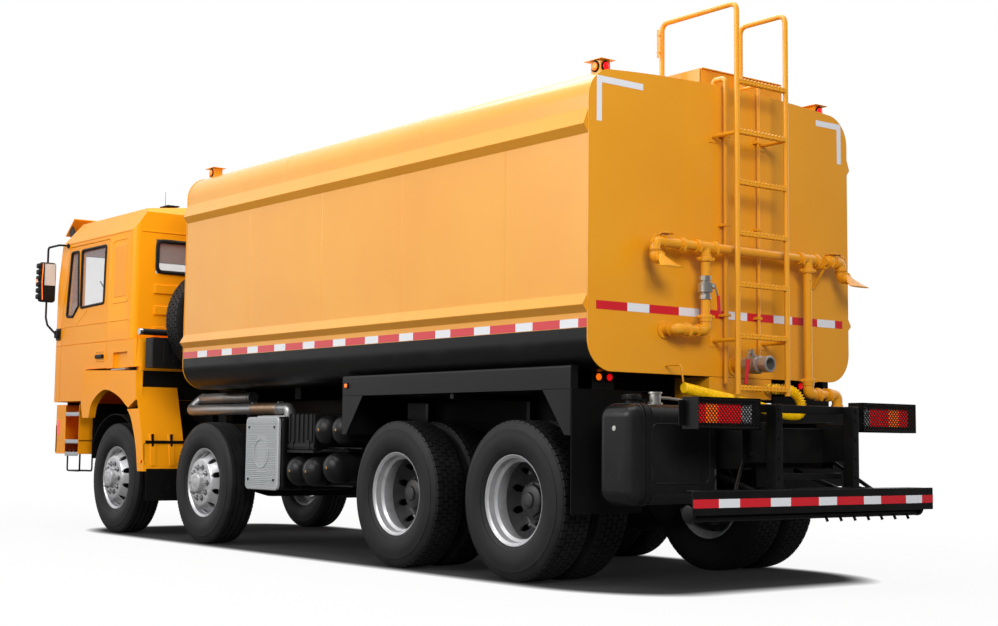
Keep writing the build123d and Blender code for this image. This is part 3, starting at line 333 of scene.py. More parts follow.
def solid(name, shape, finish, stands_for=(), body="chassis", crease=35.0, slot=None):
    """Makes a bmesh one piece of the object: shaded, carried by a body, with its finish."""
    mesh = bpy.data.meshes.new(name)
    shape.to_mesh(mesh)
    mesh.materials.append(finish.material)
    mesh.shade_smooth()
    mesh.set_sharp_from_angle(angle=radians(crease))
    piece = bpy.data.objects.new(name, mesh)
    scene.collection.objects.link(piece)
    shading = piece.modifiers.new("flat_faces_stay_flat", "WEIGHTED_NORMAL")
    shading.keep_sharp = True
    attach(piece, body)
    slot or finish.slot
    if stands_for:
        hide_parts(*stands_for)
    return piece


def turned(points, steps=72, closed=True):
    """A form turned about the X axis from (distance along X, radius) points."""
    shape = bmesh.new()
    corners = [shape.verts.new((u, 0, r)) for u, r in points]
    ends = corners[1:] + corners[:1] if closed else corners[1:]
    outline = [shape.edges.new(pair) for pair in zip(corners, ends)]
    middle = dict(cent=(0, 0, 0), axis=(1, 0, 0), angle=tau, steps=steps, use_merge=True)
    bmesh.ops.spin(shape, geom=corners + outline, **middle)
    bmesh.ops.remove_doubles(shape, verts=shape.verts, dist=0.00001)
    bmesh.ops.recalc_face_normals(shape, faces=shape.faces)
    return shape


def gather(shape, other, matrix=Matrix()):
    """Adds a copy of another bmesh to a bmesh, moved by a matrix."""
    carrier = bpy.data.meshes.new("carrier")
    other.to_mesh(carrier)
    carrier.transform(matrix)
    if matrix.determinant() < 0:
        carrier.flip_normals()
    shape.from_mesh(carrier)
    bpy.data.meshes.remove(carrier)


TYRE_SIDE = (
    (0.0995, 0.2845), (0.0995, 0.2985), (0.112, 0.3015), (0.124, 0.318), (0.1255, 0.330),
    (0.1285, 0.331), (0.1355, 0.356), (0.1395, 0.393), (0.1385, 0.425), (0.1345, 0.452),
    (0.1355, 0.455), (0.1345, 0.462), (0.131, 0.4645), (0.1265, 0.483), (0.1225, 0.496),
    (0.1185, 0.506),
)
groove_floor = 0.5115


def tyre_form(tread):
    """A tyre of revolution with the given (u, radius) tread points on its left half."""
    half = list(TYRE_SIDE) + tread
    return turned(half + [(-u, r) for u, r in reversed(half)], 96)


rib_tread = [(0.1120, 0.5175), (0.104, 0.5215)]
for groove in (0.072, 0.026):
    rib_tread += [
        (groove + 0.0065, 0.5235), (groove + 0.004, groove_floor), (groove - 0.004, groove_floor)
    ]
    rib_tread += [(groove - 0.0065, 0.5245)]
ribbed_tyre = tyre_form(rib_tread)
notches_round = 90
size = Matrix.Diagonal((0.010, 0.004, 0.010, 1))
for notch in range(notches_round):
    turn = Matrix.Rotation(tau * notch / notches_round, 4, "X")
    for edge in (0.1105, -0.1105):
        place = Matrix.Translation((edge, 0, 0.5135))
        bmesh.ops.create_cube(ribbed_tyre, size=1, matrix=turn @ place @ size)

block_tyre = tyre_form([(0.114, groove_floor), (0.0, groove_floor + 0.001)])
blocks_round = 60
BLOCK_ROWS = ((-0.0905, 0.041), (-0.0445, 0.038), (0.0, 0.038), (0.0445, 0.038), (0.0905, 0.041))
block_height = 0.022
block_length = tau * tyre_radius / blocks_round - 0.009
for row, (row_u, row_width) in enumerate(BLOCK_ROWS):
    for number in range(blocks_round):
        turn = Matrix.Rotation(tau * (number + 0.5 * (row % 2)) / blocks_round, 4, "X")
        size = Matrix.Diagonal((row_width, block_length, block_height, 1))
        place = Matrix.Translation((row_u, 0, tyre_radius - block_height / 2 - 0.0005))
        made = bmesh.ops.create_cube(block_tyre, size=1, matrix=turn @ place @ size)
        if abs(row_u) > 0.08:
            outer = [v for v in made["verts"] if abs(v.co.x) > abs(row_u)]
            inward = (turn @ Vector((0, 0, -1))).normalized()
            for corner in outer:
                foot = (corner.co.yz.length < tyre_radius - 0.5 * block_height)
                corner.co.x += (0.009 if foot else -0.003) * (1 if row_u > 0 else -1)
                corner.co += inward * (0.012 if foot else 0.004)


def wheel_place(x, y, side):
    """The matrix that takes a wheel turned about X at the origin to its place on an axle."""
    return Matrix.Translation((x, y, tyre_radius)) @ Matrix.Rotation(0 if side > 0 else pi, 4, "Z")


def gathered(place, *forms):
    """A new form that holds copies of some forms, moved by a matrix."""
    shape = bmesh.new()
    for form in forms:
        gather(shape, form, place)
    return shape


for number in (1, 2):
    for side_name, side in SIDES.items():
        tyre = gathered(wheel_place(side * front_wheel_x, axle_places[number], side), ribbed_tyre)
        node = f"tyre_{number}_{side_name}"
        solid(f"ribbed_{node}", tyre, rubber, [node], f"wheel_{number}_{side_name}")
for number in (3, 4):
    for side_name, side in SIDES.items():
        pair = bmesh.new()
        for offset, phase in ((twin_offset, 0.03), (-twin_offset, 0)):
            place = wheel_place(side * (twin_middle_x + offset), axle_places[number], side)
            gather(pair, block_tyre, place @ Matrix.Rotation(phase, 4, "X"))
        node = f"tyres_{number}_{side_name}"
        solid(f"block_{node}", pair, rubber, [node], f"wheels_{number}_{side_name}")

# ---------------------------------------------------------------- rims and hubs
# Pressed steel disc wheels in silver paint: a rolled rim, a drop centre and a dished disc with
# hand holes. The front discs stand proud with a hub cap; the rear ones are deep, round a dark hub,
# and their outer discs are dark grey with dust patches, a painted shade for their deep recess.
silver_paint = dusty(
    "silver_rim_paint", "silver_paint", tone(196, 196, 198), tone(150, 148, 145), 0.30,
    (14.0, 4.0, 0.6), (0.45, 0.8), 0.55, metallic=0.55, coat_weight=0.2,
)
silver_paint.bump(silver_paint.noise(300.0, 1.0), 0.00008)
# The rear outer discs: silver paint darkened to dark grey as painted shade, with cloudy dust
# patches.
painted_shade_disc = dusty(
    "dust_and_painted_shade_disc_paint", "silver_paint", tone(58, 58, 60), tone(42, 41, 40), 0.42, (12.0, 4.0, 0.6),
    metallic=0.3,
)
hub_grey = dusty(
    "dark_hub_paint", "black_paint", tone(44, 44, 46), tone(78, 76, 74), 0.42, (20.0, 4.0, 0.6),
    metallic=0.4,
)
bright_steel = Finish("bright_steel", "bare_steel", tone(196, 196, 198), 0.3, metallic=1.0)
bright_steel.set("Roughness", bright_steel.noise(60.0, 3.0) * 0.3 + 0.18)
bright_steel.bump(bright_steel.noise(500.0, 1.0), 0.00005)

barrel = (
    (0.1118, 0.2940), (0.1118, 0.2978), (0.1060, 0.2980), (0.1010, 0.2965), (0.1000, 0.2835),
    (0.0600, 0.2800), (0.0450, 0.2620), (0.0000, 0.2600), (-0.0450, 0.2800), (-0.1000, 0.2835),
    (-0.1010, 0.2965), (-0.1118, 0.2978), (-0.1118, 0.2940), (-0.1060, 0.2900), (-0.1000, 0.2760),
    (-0.0480, 0.2700), (0.0000, 0.2500), (0.0400, 0.2520), (0.0560, 0.2700), (0.0960, 0.2760),
    (0.1040, 0.2880),
)
rim_barrel = turned(barrel, 96)


def carve(shape, cutter):
    """Cuts one form out of another by a boolean, and returns what is kept."""
    pair = []
    for name, form in (("kept", shape), ("cutter", cutter)):
        mesh = bpy.data.meshes.new(name)
        form.to_mesh(mesh)
        pair.append(bpy.data.objects.new(name, mesh))
        scene.collection.objects.link(pair[-1])
    kept, tool = pair
    cut = kept.modifiers.new("cut", "BOOLEAN")
    cut.operation = "DIFFERENCE"
    cut.solver = "EXACT"
    cut.object = tool
    result = bmesh.new()
    result.from_object(kept, bpy.context.evaluated_depsgraph_get())
    for spent in pair:
        bpy.data.objects.remove(spent)
    return result


hand_holes = 10
hand_hole_radius = 0.0255


def pierced(outline, circle, along, tall=1.0):
    """A disc of revolution with a ring of hand holes cut through it."""
    cutter = bmesh.new()
    bore = dict(cap_ends=True, segments=24, radius1=hand_hole_radius, radius2=hand_hole_radius)
    for number in range(hand_holes):
        turn = Matrix.Rotation(tau * number / hand_holes, 4, "X")
        place = Matrix.Translation((along, 0, circle)) @ Matrix.Rotation(pi / 2, 4, "Y")
        squeeze = Matrix.Diagonal((tall, 1, 1, 1))
        bmesh.ops.create_cone(cutter, matrix=turn @ place @ squeeze, depth=0.24, **bore)
    return carve(turned(outline, 120), cutter)


FRONT_DISC = (
    (0.012, 0.2720), (0.026, 0.2720), (0.060, 0.2600), (0.128, 0.2150), (0.143, 0.2020),
    (0.1465, 0.1900), (0.1465, 0.0900), (0.1350, 0.0900), (0.1350, 0.1880), (0.1300, 0.2000),
    (0.114, 0.2130), (0.050, 0.2560),
)
front_disc = pierced(FRONT_DISC, 0.233, 0.10, 1.15)
front_cap = turned(
    [
        (0.1450, 0.0960), (0.150, 0.0960), (0.152, 0.0900), (0.186, 0.0860), (0.194, 0.0810),
        (0.1975, 0.0700), (0.1985, 0.0480), (0.1965, 0.0440), (0.1985, 0.0400), (0.1990, 0.0),
    ],
    60,
    closed=False,
)
REAR_DISC = (
    (0.096, 0.2700), (0.112, 0.2700), (0.060, 0.2400), (0.022, 0.2080), (0.0125, 0.1900),
    (0.0125, 0.0700), (0.0, 0.0700), (0.0, 0.1900), (0.010, 0.2120), (0.048, 0.2440),
)
rear_disc = pierced(REAR_DISC, 0.230, 0.05)
rear_hub = turned(
    [
        (0.012, 0.148), (0.034, 0.148), (0.038, 0.142), (0.040, 0.126), (0.092, 0.122),
        (0.096, 0.118), (0.098, 0.106), (0.122, 0.100), (0.132, 0.086), (0.136, 0.054),
        (0.150, 0.048), (0.154, 0.040), (0.154, 0.0),
    ],
    60,
    closed=False,
)
inner_disc = turned([
    (-0.012, 0.190), (-0.112, 0.270), (-0.098, 0.270), (0.0, 0.190), (0.0, 0.100), (-0.012, 0.100),
], 60)


def studs(count, circle, along, radius, length, sides=6, phase=0.0):
    """A ring of bolt heads or nuts that point along X."""
    ring = bmesh.new()
    head = dict(cap_ends=True, segments=sides, radius1=radius, radius2=radius * 0.9, depth=length)
    for number in range(count):
        turn = Matrix.Rotation(tau * (number + phase) / count, 4, "X")
        place = Matrix.Translation(
            (along + length / 2, 0, circle)
        ) @ Matrix.Rotation(pi / 2, 4, "Y")
        bmesh.ops.create_cone(ring, matrix=turn @ place, **head)
    return ring


def wheel_nuts(circle, along, nut_radius, stud_length):
    """Ten wheel nuts, each with the end of its stud."""
    studs_out = studs(10, circle, along, 0.011, stud_length, 12, 0.5)
    return gathered(Matrix(), studs(10, circle, along, nut_radius, 0.018, 6, 0.5), studs_out)


front_nuts = wheel_nuts(0.1375, 0.1465, 0.019, 0.034)
# Dark rings under the front wheel nuts, as painted shadow round each nut.
nut_shadow_rings = studs(10, 0.1375, 0.1462, 0.0255, 0.0035, 24, 0.5)
rear_nuts = wheel_nuts(0.1675, 0.0125, 0.018, 0.036)
hub_bolts = gathered(
    Matrix(), studs(12, 0.133, 0.038, 0.0085, 0.010), studs(10, 0.112, 0.097, 0.0075, 0.007)
)
front_drum = turned([
    (-0.068, 0.0), (-0.068, 0.200), (0.0, 0.200), (0.0, 0.118), (0.134, 0.118), (0.134, 0.0),
], 60, closed=False)
rear_drum = turned([
    (-0.240, 0.052), (-0.240, 0.200), (-0.020, 0.200), (-0.020, 0.125), (0.012, 0.125),
    (0.012, 0.0),
], 60, closed=False)

for number in (1, 2):
    for side_name, side in SIDES.items():
        body = f"wheel_{number}_{side_name}"
        node = f"rim_{number}_{side_name}"
        place = wheel_place(side * front_wheel_x, axle_places[number], side)
        rim = gathered(place, rim_barrel, front_disc, front_cap)
        solid(f"{node}_disc", rim, silver_paint, [node], body)
        solid(f"{node}_nuts", gathered(place, front_nuts), bright_steel, (), body)
        # The drum piece also carries the dark rings of painted shadow under the nuts.
        solid(f"{node}_drum", gathered(place, nut_shadow_rings, front_drum), hub_grey, (), body)
for number in (3, 4):
    for side_name, side in SIDES.items():
        body = f"wheels_{number}_{side_name}"
        node = f"rims_{number}_{side_name}"
        place = wheel_place(side * twin_middle_x, axle_places[number], side)
        rims = gathered(place, inner_disc)
        for offset in (twin_offset, -twin_offset):
            gather(rims, rim_barrel, place @ Matrix.Translation((offset, 0, 0)))
        nuts = gathered(place, rear_nuts, hub_bolts)
        solid(f"{node}_pair", rims, silver_paint, [node], body)
        solid(f"{node}_outer_disc", gathered(place, rear_disc), painted_shade_disc, (), body)
        solid(f"{node}_hub", gathered(place, rear_hub, rear_drum), hub_grey, (), body)
        solid(f"{node}_nuts", nuts, hub_grey, (), body, slot="bare_steel")

# ---------------------------------------------------------------- tank
# A rolled and welded steel water tank in orange gloss paint, its lower flanks and belly in black.
# Two pressed ribs run along each side, and flanged plates close both ends.
tank_front = -1.591
tank_rear = 3.850
tank_half = 1.235
tank_bottom = 1.350
tank_shoulder = 3.250
tank_crown = 3.292
tank_corner = 0.200
paint_line = 1.612
plate_lip = 0.005
plate_thickness = 0.008
RIBS = ((2.880, 2.987, 2.826), (1.752, 1.822, 1.706))
rib_reach = 0.040


def corner_arc(x, z, radius, start, end, steps=10):
    """Points on an arc in X and Z, with angles in degrees from +X towards +Z."""
    angles = [radians(start + (end - start) * step / steps) for step in range(steps + 1)]
    return [(x + radius * cos(angle), z + radius * sin(angle)) for angle in angles]


def tank_flank(grow, from_z, ribs=True):
    """The left half of the tank's section, from a height on its flank up to the crown."""
    flat = tank_half - tank_corner
    radius = tank_corner + grow
    points = [(tank_half + grow, from_z)]
    if ribs:
        for crest, top, bottom in reversed(RIBS):
            out = tank_half + rib_reach
            points += [(tank_half, bottom - 0.004), (tank_half + 0.001, bottom + 0.002)]
            points += [(out - 0.003, crest - 0.007), (out, crest), (out - 0.002, crest + 0.006)]
            points += [(tank_half + 0.001, top - 0.003), (tank_half, top + 0.004)]
    points += corner_arc(flat, tank_shoulder - tank_corner, radius, 0, 90, 14)
    crown_steps = 12
    rise = tank_crown - tank_shoulder
    for step in range(1, crown_steps + 1):
        x = flat * (1 - step / crown_steps)
        points.append((x, tank_shoulder + grow + rise * (1 - (x / flat) ** 2)))
    return points


def tank_floor(grow, from_z):
    """The left half of the tank's section, from a height on its flank down to the bottom."""
    flat = tank_half - tank_corner
    radius = tank_corner + grow
    curve = corner_arc(flat, tank_bottom + tank_corner, radius, 0, -90, 14)
    return [(tank_half + grow, from_z)] + curve + [(0, tank_bottom - grow)]


def corners_of(drawn):
    """The vertices among what an extrusion made."""
    return [item for item in drawn["geom"] if isinstance(item, bmesh.types.BMVert)]


def sheet_along(points, front, rear):
    """A skin drawn along Y from X and Z points."""
    skin = bmesh.new()
    corners = [skin.verts.new((x, front, z)) for x, z in points]
    edges = [skin.edges.new(pair) for pair in zip(corners, corners[1:])]
    moved = corners_of(bmesh.ops.extrude_edge_only(skin, edges=edges))
    bmesh.ops.translate(skin, verts=moved, vec=(0, rear - front, 0))
    return skin


def both_halves(points):
    """A left half outline with its mirror image, in one run from right to left."""
    return [(-x, z) for x, z in points if x > 0.00001] + list(reversed(points))


def drawn_out(points, step, bevel=0.0, sharper_than=30.0, segments=2):
    """A flat outline drawn out by a step into a closed form, its edges rounded if asked."""
    form = bmesh.new()
    face = form.faces.new([form.verts.new(point) for point in points])
    moved = corners_of(bmesh.ops.extrude_face_region(form, geom=[face]))
    bmesh.ops.translate(form, verts=moved, vec=step)
    bmesh.ops.recalc_face_normals(form, faces=form.faces)
    if bevel:
        round_edges(form, bevel, sharper_than, segments)
    return form


def plate_across(points, front, rear, bevel=0.0):
    """A flat plate with an outline in X and Z, between two Y planes."""
    return drawn_out([(x, front, z) for x, z in points], (0, rear - front, 0), bevel, 60)


def round_edges(shape, width, sharper_than=30.0, segments=2):
    """Rounds every edge of a closed form that turns by more than an angle in degrees."""
    sharp = [
        e for e in shape.edges if e.is_manifold and e.calc_face_angle() > radians(sharper_than)
    ]
    rounding = dict(affect="EDGES", profile=0.5, material=-1, clamp_overlap=True)
    bmesh.ops.bevel(shape, geom=sharp, offset=width, segments=segments, **rounding)


upper = both_halves(tank_flank(0, paint_line))
lower = both_halves(tank_floor(0, paint_line))
body = sheet_along(upper, tank_front + plate_thickness, tank_rear - plate_thickness)
solid("tank_body", body, tank_orange, ["tank_shell"])
belly = sheet_along(lower, tank_front + plate_thickness, tank_rear - plate_thickness)
bmesh.ops.reverse_faces(belly, faces=belly.faces)
solid("tank_belly", belly, black_paint)

outline = both_halves(tank_flank(plate_lip, 2.0, ribs=False))
outline += reversed(both_halves(tank_floor(plate_lip, 1.9)))
rear_plate = plate_across(outline, tank_rear - plate_thickness, tank_rear, 0.003)
solid("tank_rear_plate", rear_plate, tank_orange)
front_plate = plate_across(outline, tank_front, tank_front + plate_thickness, 0.003)
solid("tank_front_plate", front_plate, tank_orange)
ends = bmesh.new()
for crest, top, bottom in RIBS:
    for side in SIDES.values():
        corners = [
            (side * tank_half, bottom), (side * (tank_half + rib_reach), crest),
            (side * tank_half, top),
        ]
        for near, far in (
            (tank_rear - 0.012, tank_rear - 0.0075), (tank_front + 0.0075, tank_front + 0.012)
        ):
            gather(ends, plate_across(corners, near, far))
solid("tank_rib_ends", ends, tank_orange)


def bent_route(points, bend):
    """Straight runs between points with an arc of the given radius at each corner."""
    points = [Vector(point) for point in points]
    route = [points[0]]
    for before, corner, after in zip(points, points[1:], points[2:]):
        back = (before - corner).normalized()
        on = (after - corner).normalized()
        shorter = min((before - corner).length, (after - corner).length)
        reach = min(bend / tan(back.angle(on) / 2), 0.48 * shorter)
        start = corner + back * reach
        end = corner + on * reach
        steps = 8
        for step in range(steps + 1):
            t = step / steps
            route.append(start * (1 - t) ** 2 + corner * 2 * t * (1 - t) + end * t**2)
    route.append(points[-1])
    return route


def run_mesh(route, kind="POLY", closed=False, **settings):
    """The mesh of a curve that a route leads, with the curve's settings."""
    curve = bpy.data.curves.new("run", "CURVE")
    curve.dimensions = "3D"
    for key, value in settings.items():
        setattr(curve, key, value)
    spline = curve.splines.new(kind)
    spline.points.add(len(route) - 1)
    for point, place in zip(spline.points, route):
        point.co = (*place, 1)
    spline.use_cyclic_u = closed
    if kind == "NURBS":
        spline.order_u = 3
        spline.use_endpoint_u = True
    run = bpy.data.objects.new("run", curve)
    mesh = bpy.data.meshes.new_from_object(run)
    bpy.data.objects.remove(run)
    bpy.data.curves.remove(curve)
    return mesh


def tube(shape, points, radius, bend=0.0, sides=16, side=1):
    """Adds a round bar or pipe, capped at both ends, along a bent route, with X towards a side."""
    route = [Vector((side * x, y, z)) for x, y, z in points]
    route = bent_route(route, bend) if bend else route
    thickness = dict(bevel_depth=radius, bevel_resolution=max(0, sides // 4 - 1))
    shape.from_mesh(run_mesh(route, use_fill_caps=True, **thickness))


def box(shape, low, high, bevel=0.0, segments=2, turn=None):
    """Adds a box between two corners, its edges rounded, turned about its middle if asked."""
    low, high = Vector(low), Vector(high)
    cube = bmesh.new()
    size = [abs(b - a) for a, b in zip(low, high)]
    bmesh.ops.create_cube(cube, size=1, matrix=Matrix.Diagonal((*size, 1)))
    if bevel:
        round_edges(cube, min(bevel, 0.45 * min(size)), 30, segments)
    middle = Matrix.Translation((low + high) / 2)
    gather(shape, cube, middle @ turn if turn else middle)


def cylinder(shape, start, end, radius, sides=24, bevel=0.0, end_radius=None):
    """Adds a round bar, or a cone, between two points, its rims rounded if asked."""
    start, end = Vector(start), Vector(end)
    along = end - start
    round_bar = bmesh.new()
    far = radius if end_radius is None else end_radius
    bmesh.ops.create_cone(
        round_bar, cap_ends=True, segments=sides, radius1=radius, radius2=far, depth=along.length
    )
    if bevel:
        round_edges(round_bar, bevel, 50)
    turn = along.to_track_quat("Z", "Y").to_matrix().to_4x4()
    gather(shape, round_bar, Matrix.Translation((start + end) / 2) @ turn)


def boxes(shape, side, *rows):
    """Adds boxes from rows of two corners and any rounding, with X towards a side."""
    for (low_x, *low), (high_x, *high), *rounding in rows:
        box(shape, (side * low_x, *low), (side * high_x, *high), *rounding)


def bars(shape, side, *rows):
    """Adds round bars along an axis, from rows of a place, the axis, how far the bar reaches on
    it, and what cylinder takes from the radius on, with X towards a side."""
    for start, axis, far, *rest in rows:
        end = [far if letter == axis else value for letter, value in zip("xyz", start)]
        start, end = ((side * x, y, z) for x, y, z in (start, end))
        cylinder(shape, start, end, *rest)


seams = bmesh.new()
flank_seams = (-0.422, 0.721, 1.817, 3.017)
for seam_y in flank_seams:
    for side in SIDES.values():
        tube(
            seams, [(side * (tank_half - 0.0012), seam_y, z) for z in (1.824, 2.824)], 0.0032,
            sides=8,
        )
roof_seams = (0.117, 2.020)
for seam_y in roof_seams:
    top_run = [(x, z) for x, z in both_halves(tank_flank(-0.001, 2.99, ribs=False))]
    tube(seams, [(x, seam_y, z) for x, z in top_run], 0.0032, sides=8)
solid("tank_weld_seams", seams, tank_orange)

# ---------------------------------------------------------------- reflective strips
# Adhesive retro-reflective strips, red and white in turn along the flanks, the rear plate and the
# bumper, and white corner marks high on the rear plate.
strip_red = Finish("reflective_red", "lamp_plastic", tone(206, 24, 38), 0.3, coat_weight=0.5)
strip_white = Finish("reflective_white", "lamp_plastic", tone(226, 228, 232), 0.3, coat_weight=0.5)
for strip in (strip_red, strip_white):
    strip.bump(strip.cells(380.0), 0.0001)
strip_film = 0.0012


reds = bmesh.new()
whites = bmesh.new()


def strip_run(start, end, red_length, white_length):
    """Red and white pieces laid in turn: the start and end of each, and the form it goes to."""
    number = 0
    while start < end - 0.01:
        stop = min(start + (white_length if number % 2 else red_length), end)
        yield start, stop, (reds, whites)[number % 2]
        start, number = stop, number + 1


flank_strip = (1.615, 1.669)
plate_strip = (1.729, 1.783)
for side in SIDES.values():
    for start, stop, form in strip_run(tank_front + 0.010, tank_rear - 0.012, 0.270, 0.175):
        low = (tank_half, start, flank_strip[0])
        boxes(form, side, (low, (tank_half + strip_film, stop, flank_strip[1])))
for start, stop, form in strip_run(-1.17, 1.17, 0.262, 0.190):
    high = (-stop, tank_rear + strip_film, plate_strip[1])
    box(form, (-start, tank_rear, plate_strip[0]), high)
mark_top, mark_width = 3.215, 0.042
for side, arm_in in ((1, 0.775), (-1, 0.905)):
    near, far = tank_rear, tank_rear + strip_film
    boxes(whites, side,
        ((1.172, near, mark_top - mark_width - 0.015), (arm_in, far, mark_top - 0.015)),
        ((1.172, near, 2.910), (1.172 - mark_width, far, mark_top - mark_width - 0.015)),
    )
solid("reflective_strips_red", reds, strip_red)
solid("reflective_strips_white", whites, strip_white)

# ---------------------------------------------------------------- rear ladder
# A welded tube ladder in tank colour with seven folded non-slip rungs. Its rails bend over the
# roof in two loops whose feet stand on pads, and two pairs of standoffs hold it off the plate.
ladder_y = 4.075
ladder_left, ladder_right = 0.145, -0.330
ladder_radius = 0.0185
ladder_top = 3.805
rung_heights = [1.266 + 0.336 * number for number in range(7)]
ladder = bmesh.new()
LADDER_RAILS = ((ladder_left, 3.375, 3.2915), (ladder_right, 3.665, 3.2885))
for rail_x, foot_y, foot_z in LADDER_RAILS:
    tube(ladder, [
        (rail_x, ladder_y, 1.225), (rail_x, ladder_y, ladder_top), (rail_x, foot_y, ladder_top),
        (rail_x, foot_y, foot_z),
    ], ladder_radius, 0.060, 20)
    bars(ladder, 1, ((rail_x, foot_y, foot_z), "z", foot_z + 0.008, 0.030, 24, 0.002))
    for standoff_z in (1.580, 2.940):
        tube(ladder, [
            (rail_x, tank_rear + 0.004, standoff_z), (rail_x, ladder_y, standoff_z),
        ], 0.0135, sides=16)
        box(
            ladder, (rail_x - 0.035, tank_rear + 0.0003, standoff_z - 0.040),
            (rail_x + 0.035, tank_rear + 0.0065, standoff_z + 0.040), 0.002,
        )
for rung_z in rung_heights:
    box(
        ladder, (ladder_right + 0.012, ladder_y - 0.017, rung_z - 0.017),
        (ladder_left - 0.012, ladder_y + 0.017, rung_z + 0.015), 0.004,
    )
    for number in range(13):
        stud_x = ladder_right + 0.036 + number * 0.0336
        for stud_y in (-0.0085, 0.0085):
            top = (stud_x + 0.3 * stud_y, ladder_y + stud_y, rung_z + 0.0195)
            cylinder(ladder, (top[0], top[1], rung_z + 0.014), top, 0.0075, 8, 0.0, 0.0045)
        for stud_z in (-0.017, 0.015):
            ridge = (stud_x + 0.010, ladder_y + 0.0225, rung_z + stud_z * 0.55)
            cylinder(ladder, (
                stud_x + 0.010, ladder_y + 0.015, rung_z + stud_z * 0.55,
            ), ridge, 0.0085, 8, 0.0, 0.0055)
for hook_z in (3.600, 3.720):
    bars(ladder, 1, ((ladder_left, 3.375, hook_z), "x", ladder_left + 0.045, 0.006, 10))
box(ladder, (ladder_left + 0.036, 3.366, 3.560), (ladder_left + 0.042, 3.384, 3.760), 0.002)
solid("rear_ladder_welded", ladder, tank_orange, ["rear_ladder"], "chassis", 40)

# ---------------------------------------------------------------- spray pipework
# Sprayed steel pipe joined by cast elbows, tees and grooved couplings: a cross pipe with a swivel
# fan nozzle at each end, fed by two drop pipes, with a nickel ball valve on the left one.
pipe_y = 3.975
pipe_radius = 0.030
cast_radius = 0.037
manifold_z = 2.174
left_drop_x, right_drop_x = 0.340, -0.655
inlet_x, inlet_z = 0.590, 1.630
pipes = bmesh.new()


def coupling(shape, place, along, radius=0.044, width=0.034):
    """A grooved coupling: two half shells round the pipe, closed by two bolts."""
    place, along = Vector(place), Vector(along)
    half = along * width / 2
    cylinder(shape, place - half, place + half, radius, 24, 0.005)
    cylinder(shape, place - half * 0.4, place + half * 0.4, radius + 0.002, 24, 0.001)
    across = along.cross(
        Vector((0.35, 0.94, 0.0) if abs(along.z) > 0.5 else (0, 0.5, 0.86))
    ).normalized()
    other = along.cross(across)
    for way in (1, -1):
        ear = place + across * way * (radius + 0.006)
        cylinder(shape, ear - other * 0.016, ear + other * 0.016, 0.012, 10, 0.002)
        cylinder(shape, ear - other * 0.024, ear + other * 0.024, 0.0055, 6)


def elbow(shape, start, corner, end, radius=cast_radius):
    """A cast elbow: a thick bend with a bead at each end."""
    tube(shape, [start, corner, end], radius, 0.045, 20)
    for near, far in ((start, corner), (end, corner)):
        near, far = Vector(near), Vector(far)
        inward = (far - near).normalized() * 0.012
        cylinder(shape, near - inward * 0.3, near + inward, radius + 0.005, 24, 0.002)


def at(x, z, behind=0.0):
    """A place in the pipes' plane, or a little behind it."""
    return Vector((x, pipe_y + behind, z))


lift, left = Vector((0, 0, 1)), Vector((1, 0, 0))
outlet_z = 1.250
outlet_x = right_drop_x - 0.300
bars(pipes, 1,
    ((inlet_x, tank_rear + 0.0003, inlet_z), "y", tank_rear + 0.012, 0.058, 32, 0.003),
    ((inlet_x, tank_rear, inlet_z), "y", pipe_y - 0.045, pipe_radius, 24),
    (at(inlet_x - 0.05, inlet_z), "x", left_drop_x + 0.05, pipe_radius, 24),
    (at(left_drop_x, inlet_z + 0.05), "z", manifold_z, pipe_radius, 24),
    (at(left_drop_x + 0.25, manifold_z), "x", right_drop_x - 0.12, pipe_radius, 24),
    (at(right_drop_x, manifold_z), "z", 1.30, pipe_radius, 24),
    (at(right_drop_x - 0.1, outlet_z), "x", right_drop_x - 0.24, pipe_radius, 24),
)
for bend in (
    (at(inlet_x, inlet_z, -0.060), at(inlet_x, inlet_z), at(inlet_x - 0.060, inlet_z)),
    (at(left_drop_x + 0.075, inlet_z), at(left_drop_x, inlet_z), at(left_drop_x, inlet_z + 0.070)),
    (at(right_drop_x, 1.320), at(right_drop_x, outlet_z), at(right_drop_x - 0.075, outlet_z)),
    (at(right_drop_x - 0.225, outlet_z), at(outlet_x, outlet_z), at(outlet_x, 1.172)),
):
    elbow(pipes, *bend)
for place, way in (
    (at(inlet_x - 0.080, inlet_z), left),
    (at(left_drop_x, inlet_z + 0.088), lift),
    (at(right_drop_x, 1.340), lift),
    (at(right_drop_x - 0.095, outlet_z), left),
    (at(right_drop_x - 0.205, outlet_z), left),
):
    coupling(pipes, place, way)
for tee in (at(left_drop_x, manifold_z), at(right_drop_x, manifold_z)):
    tube(pipes, [tee - left * 0.060, tee + left * 0.060], cast_radius, sides=20)
    tube(pipes, [tee, tee - lift * 0.062], cast_radius, sides=20)
    for reach, way in ((left * 0.078, left), (left * -0.078, left), (lift * -0.080, lift)):
        coupling(pipes, tee + reach, way)
for band_z in (manifold_z - 0.15, 1.62):
    bars(pipes, 1, (at(right_drop_x, band_z), "z", band_z + 0.006, pipe_radius + 0.002, 24))


def fan_nozzle(shape, root):
    """A duckbill nozzle, pointing down and back: a short pipe that flattens out into a slot."""
    fan = bmesh.new()
    # How far along each section is, and half its width and height
    sections = (
        (-0.02, 0.030, 0.030), (0.010, 0.031, 0.030), (0.035, 0.048, 0.023),
        (0.118, 0.104, 0.0065), (0.126, 0.104, 0.0060),
    )
    rings = []
    for along, *half in sections:
        place = Matrix.Translation((0, 0, along)) @ Matrix.Diagonal((*half, 1, 1))
        rings.append(bmesh.ops.create_circle(fan, segments=24, radius=1.0, matrix=place)["verts"])
    outlines = [{edge for corner in ring for edge in corner.link_edges} for ring in rings]
    for near, far in zip(outlines, outlines[1:]):
        bmesh.ops.bridge_loops(fan, edges=list(near | far))
    for ring in (rings[0], rings[-1]):
        fan.faces.new(ring)
    bmesh.ops.recalc_face_normals(fan, faces=fan.faces)
    gather(shape, fan, Matrix.Translation(root) @ Matrix.Rotation(radians(-120), 4, "X"))


